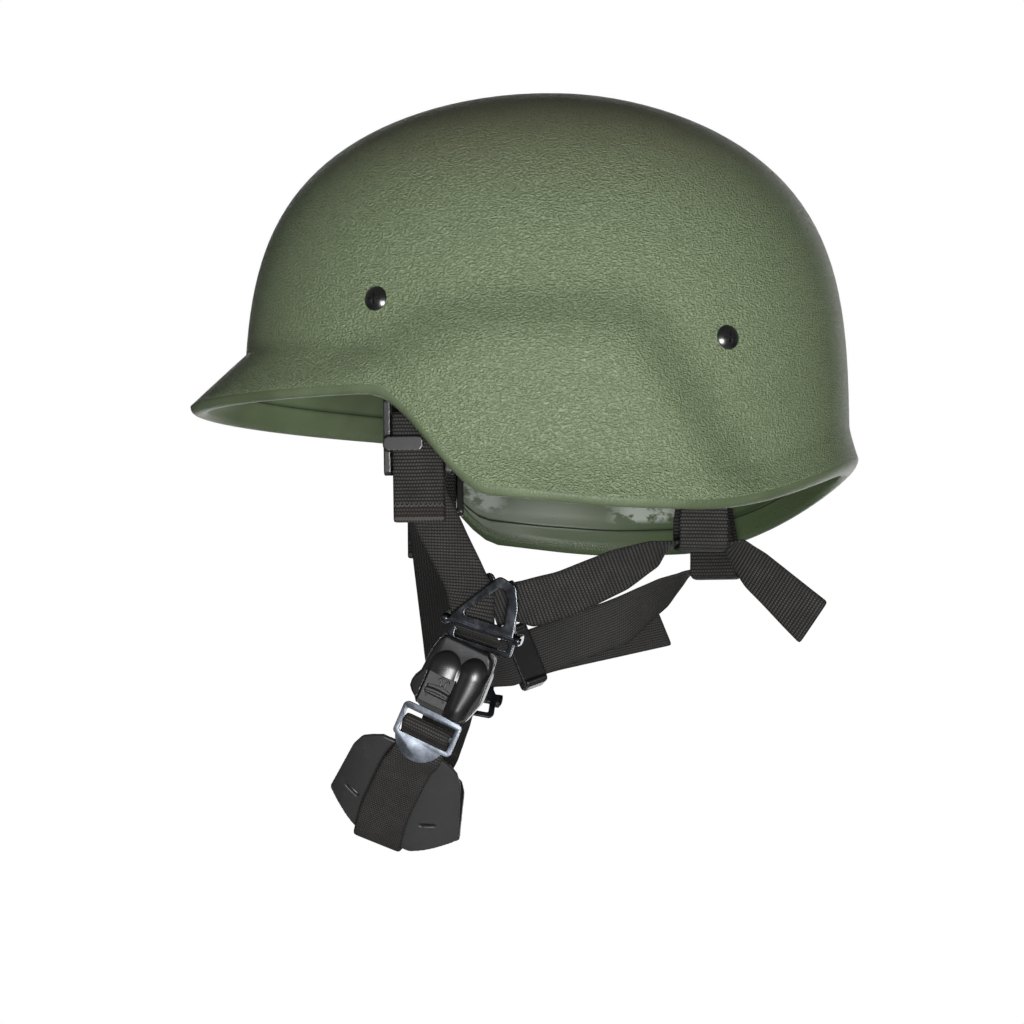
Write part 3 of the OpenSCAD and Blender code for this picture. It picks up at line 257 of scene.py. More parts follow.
@dataclass(frozen=True)
class ShellCoat(Finish):
    """The shell's textured outer coat: a leathery grain with small glints, darker along the lip,
    with a painted warm reflection towards the crown and painted shade in the flare's crease.

    Grains are in waves to the metre. Depth, the lip's and the crown's heights, and the crease's
    height over the flare and its width are in metres.
    """

    name: str = "coat_outer"
    olive: Colour = srgb(114, 127, 98)
    dark: Colour = srgb(88, 99, 73)
    # painted warm reflection, laid on towards the crown
    painted_warm_reflection: Colour = srgb(112, 98, 78)
    grain: float = 1250.0
    fine_grain: float = 2100.0
    glint_grain: float = 1400.0
    broad_grain: float = 11.0
    stretch: Spot = (1.0, 0.72, 1.15)
    depth: float = 0.00062
    lip: Pair = (0.0042, 0.0022)
    # height of the flare's crease, along which shade is painted
    crease: float = -0.0008
    crease_shade_width: float = 0.0042
    crown: Pair = (0.12, 0.187)

    def paint(self, tree: Tree, place: Value) -> dict:
        """The shader's inputs."""
        over_flare, up = tree.cloth()
        spot = tree.warped(tree.stretched(place, self.stretch), 800.0, 0.0009)
        lumps = tree.noise(spot, self.grain, 1.5, 0.55)
        veins = 1.0 - abs(tree.noise(spot, self.grain * 0.72, 1.0) * 2.0 - 1.0) * 2.6
        fine = tree.noise(place, self.fine_grain, 2.0)
        broad = tree.noise(place, self.broad_grain, 3.0)
        ridge = tree.step(0.34, 0.66, lumps) * 0.62 + veins * 0.3 + fine * 0.16
        plain = tree.step(*self.lip, up)
        height = ridge * (1.0 + plain * 0.7)
        _, _, z = tree.split(place)
        crown = tree.step(*self.crown, z)
        # painted shade along the flare's crease
        crease = tree.step(self.crease_shade_width, 0.0, abs(over_flare - self.crease))
        # the grain darker in its valleys: the grain's own tone and painted cavity shade
        base = tree.blend(tree.step(0.05, 0.95, ridge), self.dark, self.olive)
        base = tree.blend(broad * 0.22, base, self.dark)
        # painted warm reflection on the upper dome, growing towards the crown
        base = tree.blend(crown * 0.42, base, self.painted_warm_reflection)
        # the crease's painted shade
        base = tree.blend(crease * 0.2, base, self.dark)
        base = tree.blend(plain * 0.15, base, self.dark)
        glint = tree.step(0.56, 0.74, tree.noise(spot, self.glint_grain, 1.0))
        return {
            "Base Color": base,
            "Roughness": 0.47 - glint * 0.2 - plain * 0.04,
            "Normal": tree.bump(height, self.depth, 1.0),
            "Specular IOR Level": 0.34,
        }


@dataclass(frozen=True)
class InnerCoat(Finish):
    """The smooth paint of the lip and the inside, worn in patches over the step,
    with painted shade on the far wall's inside and in the step's groove.

    Heights are over the rim, places along the helmet from its middle, both in metres.
    """

    name: str = "coat_inner"
    green: Colour = srgb(88, 99, 75)
    deep: Colour = srgb(70, 80, 58)
    # painted shade on the far wall's inside
    painted_shade: Colour = srgb(54, 66, 43)
    scuff: Colour = srgb(150, 156, 148)
    # painted shade in the step's groove
    painted_groove_shade: Colour = srgb(26, 32, 23)
    step: float = 0.0107
    worn_front: float = -0.037
    worn_rear: float = 0.037

    def paint(self, tree: Tree, place: Value) -> dict:
        """The shader's inputs."""
        x, y, _ = tree.split(place)
        _, up = tree.cloth()
        cloud = tree.noise(place, 26.0, 3.0)
        fine = tree.noise(place, 1500.0, 2.0)
        base = tree.blend(tree.step(0.3, 0.7, cloud), self.deep, self.green)
        # painted shade along the step's groove
        groove = tree.step(0.0016, 0.0003, abs(up - self.step))
        # painted shade over the far wall's inside, not at the front
        far = tree.step(0.0, -0.05, x) * tree.step(-0.1, -0.06, y)
        base = tree.blend(far * 0.85, base, self.painted_shade)
        base = tree.blend(groove * 0.4, base, self.painted_groove_shade)
        speck = tree.noise(tree.stretched(place, (1.0, 0.6, 1.0)), 175.0, 3.0, 0.62)
        front = tree.step(0.016, 0.006, abs(y - self.worn_front))
        rear = tree.step(0.02, 0.006, abs(y - self.worn_rear))
        band = tree.step(0.013, 0.016, up) * tree.step(0.034, 0.022, up)
        worn = tree.maths("MULTIPLY", (front + rear) * band, tree.step(0.43, 0.54, speck), clamp=True)
        worn = worn * tree.step(0.0, -0.02, x)
        lip = tree.step(0.006, 0.003, up)
        grain = tree.noise(place, 1250.0, 2.0)
        base = tree.blend(worn * 0.8, base, self.scuff)
        return {
            "Base Color": base,
            "Roughness": 0.46 + worn * 0.3 - cloud * 0.08,
            "Normal": tree.bump(fine * 0.1 + cloud * 0.2 + grain * lip, 0.0005, 0.8),
            "Specular IOR Level": 0.28,
        }


@dataclass(frozen=True)
class Webbing(Finish):
    """Woven strap: rows of small knots across it with dark gaps between the rows.

    Row and knot are spacings in millimetres. The places of seams, hems and edges are in metres.
    """

    name: str = "webbing"
    row: float = 1.4
    knot: float = 1.2
    yarn: Colour = srgb(35, 34, 33)
    worn: Colour = srgb(68, 66, 64)
    gap: Colour = srgb(10, 10, 10)
    thread: Colour = srgb(96, 92, 88)
    fold: Colour = srgb(34, 27, 25)
    depth: float = 0.0005
    edge: Pair = (0.0088, 0.0104)
    stitch: Pair = (0.0006, 0.00035)
    rows: Pair = (0.0072, 0.0112)
    wave: float = 0.0018
    wave_long: float = 0.0019
    wave_at: float = 0.0062
    hem: float = 0.0014
    lengthwise: bool = False
    sewn: Optional[Seam] = None

    def seam(self, tree: Tree, across: Value, along: Value) -> tuple[Value, Value]:
        """The stitching near a strap's free end.

        Args:
            tree: the material's nodes.
            across: place across the strap in metres.
            along: distance from the free end in metres.

        Returns:
            The share of light thread, and the share of dark folded cloth.
        """
        if self.sewn is Seam.ZIGZAG:
            wave = abs(tree.maths("FRACT", across / self.wave_long + 20.0) - 0.5) * self.wave
            thread = tree.step(0.0006, 0.0002, abs(along - self.wave_at - wave))
            thread = thread + tree.step(0.0007, 0.0003, abs(along - self.hem))
            return thread, tree.step(0.0062, 0.0056, along) * tree.step(0.0019, 0.0024, along)
        first, second = (tree.step(*self.stitch, abs(along - row)) for row in self.rows)
        rows = first + second
        return rows * 0.0, rows

    def paint(self, tree: Tree, place: Value) -> dict:
        """The shader's inputs."""
        across, along = tree.cloth()
        sway = tree.noise(place, 150.0, 2.0) - 0.5
        first, second = (across, along) if self.lengthwise else (along, across)
        rows = first / (self.row * MM) + sway * 0.3 + 200.0
        odd = tree.maths("MODULO", tree.maths("FLOOR", rows), 2.0)
        knots = second / (self.knot * MM) + odd * 0.5 + sway * 0.35
        ridge = abs(tree.maths("SINE", rows * math.pi))
        knot = abs(tree.maths("SINE", knots * math.pi))
        fuzz = tree.noise(place, 4200.0, 2.0)
        wear = tree.noise(place, 130.0, 3.0)
        weave = ridge * (0.3 + 0.7 * knot)
        holes = tree.step(0.15, 0.75, ridge) * (0.4 + 0.6 * tree.step(0.05, 0.7, knot))
        height = weave * 0.85 + fuzz * 0.15
        lit = tree.blend(tree.step(0.3, 0.8, wear * 0.4 + fuzz * 0.6) * weave, self.yarn, self.worn)
        base = tree.blend(holes, self.gap, lit)
        edge = tree.step(*self.edge, abs(across))
        base = tree.blend(edge * 0.35, base, self.gap)
        if self.sewn:
            thread, fold = self.seam(tree, across, along)
            base = tree.blend(fold * 0.6, base, self.fold)
            base = tree.blend(thread * 0.35, base, self.thread)
            height = height + thread * 0.6 - fold * 0.4
        return {
            "Base Color": base,
            "Roughness": 0.8 - weave * 0.14,
            "Normal": tree.bump(height, self.depth, 1.0),
            "Specular IOR Level": 0.25,
        }


@dataclass(frozen=True)
class Moulded(Finish):
    """Moulded plastic or rubber with fine moulding grain and faint handling wear."""

    base: Colour
    rub: Colour
    rough: float
    grain: float = 2600.0
    depth: float = 0.00002
    coat: float = 0.0

    def paint(self, tree: Tree, place: Value) -> dict:
        """The shader's inputs."""
        fine = tree.noise(place, self.grain, 3.0)
        smear = tree.noise(place, 95.0, 4.0, 0.65)
        scratch = tree.noise(tree.stretched(place, (1.0, 0.35, 4.0)), 520.0, 2.0)
        rubbed = tree.step(0.52, 0.8, smear * 0.6 + scratch * 0.4)
        base = tree.blend(rubbed, self.base, self.rub)
        return {
            "Base Color": base,
            "Roughness": self.rough + rubbed * 0.12 + fine * 0.06 - 0.03,
            "Normal": tree.bump(fine + scratch * 0.4, self.depth, 0.8),
            "Coat Weight": self.coat,
            "Coat Roughness": 0.12,
        }


@dataclass(frozen=True)
class Steel(Finish):
    """Plated steel: cloudy sheen, fine draw lines and small worn specks."""

    base: Colour
    bright: Colour
    rough: float
    lines: float = 2400.0

    def paint(self, tree: Tree, place: Value) -> dict:
        """The shader's inputs."""
        cloud = tree.noise(place, 140.0, 4.0, 0.6)
        lines = tree.noise(tree.stretched(place, (1.0, 1.0, 0.12)), self.lines, 2.0)
        speck = tree.step(0.66, 0.76, tree.noise(place, 900.0, 2.0))
        base = tree.blend(tree.step(0.35, 0.75, cloud) * 0.7 + speck * 0.3, self.base, self.bright)
        return {
            "Base Color": base,
            "Metallic": 1.0,
            "Roughness": self.rough + cloud * 0.16 + lines * 0.06 - 0.08,
            "Normal": tree.bump(lines + cloud * 0.6, 0.00001, 0.6),
        }


@dataclass(frozen=True)
class Leather(Finish):
    """Smooth sweatband leather with pores, creases and a row of stitches near each edge.

    Rows are the stitches' heights and shift the band's middle along the helmet, in metres.
    """

    name: str = "leather"
    tan: Colour = srgb(104, 84, 64)
    dark: Colour = srgb(66, 50, 38)
    thread: Colour = srgb(196, 184, 160)
    rows: Pair = (0.0735, 0.1005)
    shift: float = -0.0023
    reach: float = 92.0
    stitch: float = 4.0

    def paint(self, tree: Tree, place: Value) -> dict:
        """The shader's inputs."""
        x, y, z = tree.split(place)
        pores = tree.cells(place, 950.0, "DISTANCE_TO_EDGE")
        crease = tree.noise(tree.stretched(place, (1.0, 1.0, 0.4)), 210.0, 5.0, 0.65)
        base = tree.blend(tree.step(0.3, 0.75, crease), self.dark, self.tan)
        turn = tree.maths("ARCTAN2", x, y - self.shift) * (self.reach / self.stitch)
        dash = tree.step(0.15, 0.25, abs(tree.maths("FRACT", turn) - 0.5))
        low, high = (tree.step(0.0006, 0.0003, abs(z - row)) for row in self.rows)
        stitch = dash * (low + high)
        base = tree.blend(stitch, base, self.thread)
        height = tree.step(0.0, 0.12, pores) * 0.5 + crease * 0.5 + stitch * 1.5
        normal = tree.bump(height, 0.0002, 0.6)
        return {"Base Color": base, "Roughness": 0.56 - crease * 0.12, "Normal": normal}


@dataclass(frozen=True)
class Foam(Finish):
    """Open-cell foam: small pits all over."""

    name: str = "foam"
    base: Colour = srgb(74, 74, 76)
    pit: Colour = srgb(30, 30, 32)

    def paint(self, tree: Tree, place: Value) -> dict:
        """The shader's inputs."""
        pits = tree.step(0.1, 0.5, tree.cells(place, 1400.0))
        cloud = tree.noise(place, 90.0, 2.0)
        base = tree.blend(pits * 0.7 + cloud * 0.3, self.pit, self.base)
        return {"Base Color": base, "Roughness": 0.95, "Normal": tree.bump(pits, 0.0005, 0.7)}


@dataclass(frozen=True)
class Braid(Finish):
    """Round braided lace, its strands crossing on the slant."""

    name: str = "braid"
    strand: Colour = srgb(78, 76, 68)
    gap: Colour = srgb(22, 21, 19)
    pitch: float = 1.1

    def paint(self, tree: Tree, place: Value) -> dict:
        """The shader's inputs."""
        across, along = tree.cloth()
        turn = math.pi / (self.pitch * MM)
        left = abs(tree.maths("SINE", (along + across) * turn))
        right = abs(tree.maths("SINE", (along - across) * turn))
        strands = tree.maths("MAXIMUM", left, right)
        fuzz = tree.noise(place, 4000.0, 2.0)
        base = tree.blend(tree.step(0.3, 0.95, strands) * (0.8 + 0.2 * fuzz), self.gap, self.strand)
        normal = tree.bump(strands, 0.0003, 0.8)
        return {"Base Color": base, "Roughness": 0.85, "Normal": normal}


# ------------------------------------------------------------- making of pieces


class Slot(Enum):
    """The record's material slots."""

    SHELL = "shell_coat"
    WEBBING = "webbing"
    CHIN_WEBBING = "chin_webbing"
    LACE = "lace"
    LEATHER = "band_leather"
    FOAM = "foam"
    BLACK = "black_plastic"
    SLIDE = "slide_plastic"
    RING = "ring_steel"
    TONGUE = "tongue_steel"
    RUBBER = "cup_rubber"
    STEEL = "steel"


@dataclass
class Wardrobe:
    """Every finish, made once."""

    made: dict[str, Material] = field(default_factory=dict)

    def get(self, finish: Finish) -> Material:
        """The material of a finish, built at its first use."""
        if finish.name not in self.made:
            self.made[finish.name] = finish.build()
        return self.made[finish.name]


WARDROBE = Wardrobe()
COAT = ShellCoat()
INNER = InnerCoat()
WEAVE = Webbing()
ZIGZAG_WEAVE = Webbing("webbing_zigzag", sewn=Seam.ZIGZAG)
SHADED_WEAVE = Webbing("webbing_inner", yarn=srgb(34, 33, 32), worn=srgb(62, 60, 58))
FAR_WEAVE = Webbing(
    "webbing_far", row=1.1, knot=0.9, yarn=srgb(33, 32, 31), worn=srgb(46, 44, 43),
    gap=srgb(19, 18, 18), depth=0.0002, lengthwise=True,
)
FAR_SEWN = Webbing(
    "webbing_far_sewn", row=1.1, knot=0.9, yarn=srgb(34, 33, 32), worn=srgb(52, 50, 49),
    gap=srgb(14, 13, 13), depth=0.0002, lengthwise=True, sewn=Seam.ROWS,
)
CHIN_WEAVE = Webbing(
    "webbing_chin", row=1.2, knot=1.1, yarn=srgb(36, 34, 33), worn=srgb(66, 64, 62), depth=0.0003
)
GLOSS_BLACK = Moulded(
    "gloss_black", srgb(15, 15, 16), srgb(26, 26, 27), 0.33, depth=0.000004, coat=0.06
)
SATIN_BLACK = Moulded("satin_black", srgb(16, 16, 17), srgb(30, 30, 31), 0.32)
SLIDE_BLACK = Moulded("slide_grey", srgb(36, 36, 37), srgb(54, 54, 55), 0.42)
SCREW_BLACK = Moulded("screw_black", srgb(16, 16, 17), srgb(40, 40, 42), 0.3, coat=0.4)
CUP_RUBBER = Moulded("cup_rubber", srgb(37, 37, 37), srgb(56, 54, 51), 0.46, 3400.0, 0.00005)
GUNMETAL = Steel("gunmetal", srgb(50, 52, 55), srgb(100, 104, 110), 0.22)
RING_BLACK = Steel("ring_black", srgb(28, 29, 31), srgb(52, 54, 57), 0.3)
TONGUE_STEEL = Steel("tongue_steel", srgb(92, 97, 105), srgb(146, 152, 162), 0.33)
DARK_STEEL = Steel("dark_steel", srgb(98, 100, 103), srgb(140, 142, 146), 0.42)
LEATHER = Leather()
FOAM = Foam()
BRAID = Braid()
SPACER = Moulded("spacer_rubber", srgb(44, 44, 44), srgb(66, 66, 66), 0.75)


def settled(obj: Object) -> Object:
    """Applies an object's modifiers to its mesh."""
    graph = bpy.context.evaluated_depsgraph_get()
    final = bpy.data.meshes.new_from_object(obj.evaluated_get(graph), depsgraph=graph)
    obj.modifiers.clear()
    old = obj.data
    obj.data = final
    bpy.data.meshes.remove(old)
    return obj


def modifier(obj: Object, kind: str, **settings) -> None:
    """Adds a modifier with these settings."""
    added = obj.modifiers.new(kind.lower(), kind)
    for key, value in settings.items():
        setattr(added, key, value)


def thickened(obj: Object, thick: float, levels: int = 0) -> None:
    """Gives a sheet its thickness in millimetres, and rounds it where levels are given."""
    modifier(obj, "SOLIDIFY", thickness=thick * MM, offset=0.0, use_even_offset=True)
    if levels:
        modifier(obj, "SUBSURF", levels=levels, render_levels=levels)


def linked(name: str, data: Optional[bpy.types.ID]) -> Object:
    """A new object of this data, in the scene."""
    obj = bpy.data.objects.new(name, data)
    bpy.context.scene.collection.objects.link(obj)
    return obj


def put(name: str, form: Form, finishes: Sequence[Finish]) -> Object:
    """Makes a smooth-shaded object of a bmesh.

    Args:
        name: the object's name.
        form: its shape, freed here.
        finishes: its finishes, in the order of the faces' material numbers.

    Returns:
        The object, in the scene.
    """
    mesh = bpy.data.meshes.new(name)
    form.to_mesh(mesh)
    form.free()
    for finish in finishes:
        mesh.materials.append(WARDROBE.get(finish))
    for face in mesh.polygons:
        face.use_smooth = True
    return linked(name, mesh)


def hand_over(obj: Object, body: Optional[str], slot: Slot, *nodes: str) -> Object:
    """Gives a finished piece its body and hides the CAD nodes that it stands for."""
    if body:
        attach(obj, body)
    if nodes:
        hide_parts(*nodes)
    LOG.info("%s rides on %s with %d faces", obj.name, body, len(obj.data.polygons))
    return obj


def sheet_form(columns: int, rows: int, place: Callable[[float, float], Vector]) -> Form:
    """A grid laid over a surface, with UVs of 0 to 1.

    Args:
        columns: faces across.
        rows: faces along.
        place: where the point at a share across and a share along lies.

    Returns:
        The bmesh.
    """
    form = bmesh.new()
    bmesh.ops.create_grid(form, x_segments=columns, y_segments=rows, size=1.0)
    uv = form.loops.layers.uv.new(CLOTH)
    shares = {v.index: ((v.co.x + 1) / 2, (v.co.y + 1) / 2) for v in form.verts}
    for face in form.faces:
        for loop in face.loops:
            loop[uv].uv = shares[loop.vert.index]
    for vert in form.verts:
        vert.co = place(*shares[vert.index])
    return form


def weld(form: Form, reach: float = WELD) -> None:
    """Joins the points that lie nearer than reach, in metres."""
    bmesh.ops.remove_doubles(form, verts=form.verts, dist=reach)


def lay_cloth(form: Form, spot: Callable[[Vector], Pair]) -> None:
    """Turns a sheet's UVs from shares into the places in metres that spot gives for them."""
    uv = form.loops.layers.uv[CLOTH]
    for face in form.faces:
        for loop in face.loops:
            loop[uv].uv = spot(loop[uv].uv.copy())


def close_back(form: Form, back: Callable[[float], float]) -> None:
    """Closes a relief that faces X.

    Args:
        form: the relief, a sheet with an open edge.
        back: X of its back at a height Z.
    """
    rim = [e for e in form.edges if e.is_boundary]
    grown = bmesh.ops.extrude_edge_only(form, edges=rim)["geom"]
    for vert in (g for g in grown if isinstance(g, bmesh.types.BMVert)):
        vert.co.x = back(vert.co.z)
    bmesh.ops.contextual_create(form, geom=[e for e in form.edges if e.is_boundary])


def copied(node: str) -> Form:
    """A CAD node's mesh, its triangles joined where their corners meet."""
    form = bmesh.new()
    form.from_mesh(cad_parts[node].data)
    weld(form, WELD_CAD)
    return form


@dataclass(frozen=True)
class Place:
    """A centre and three turns about X, Y and Z in degrees, as the part's source has them."""

    centre: Spot
    turns: Spot

    def matrix(self) -> Matrix:
        """The matrix from local millimetres to the frame's metres."""
        turned = Euler([math.radians(a) for a in self.turns], "XYZ").to_matrix().to_4x4()
        whole = Matrix.Translation(Vector(self.centre)) @ turned
        return Matrix.Scale(MM, 4) @ whole


BUCKLE = Place((62.464, -42.703, -64.65), (-26, 10, -12))

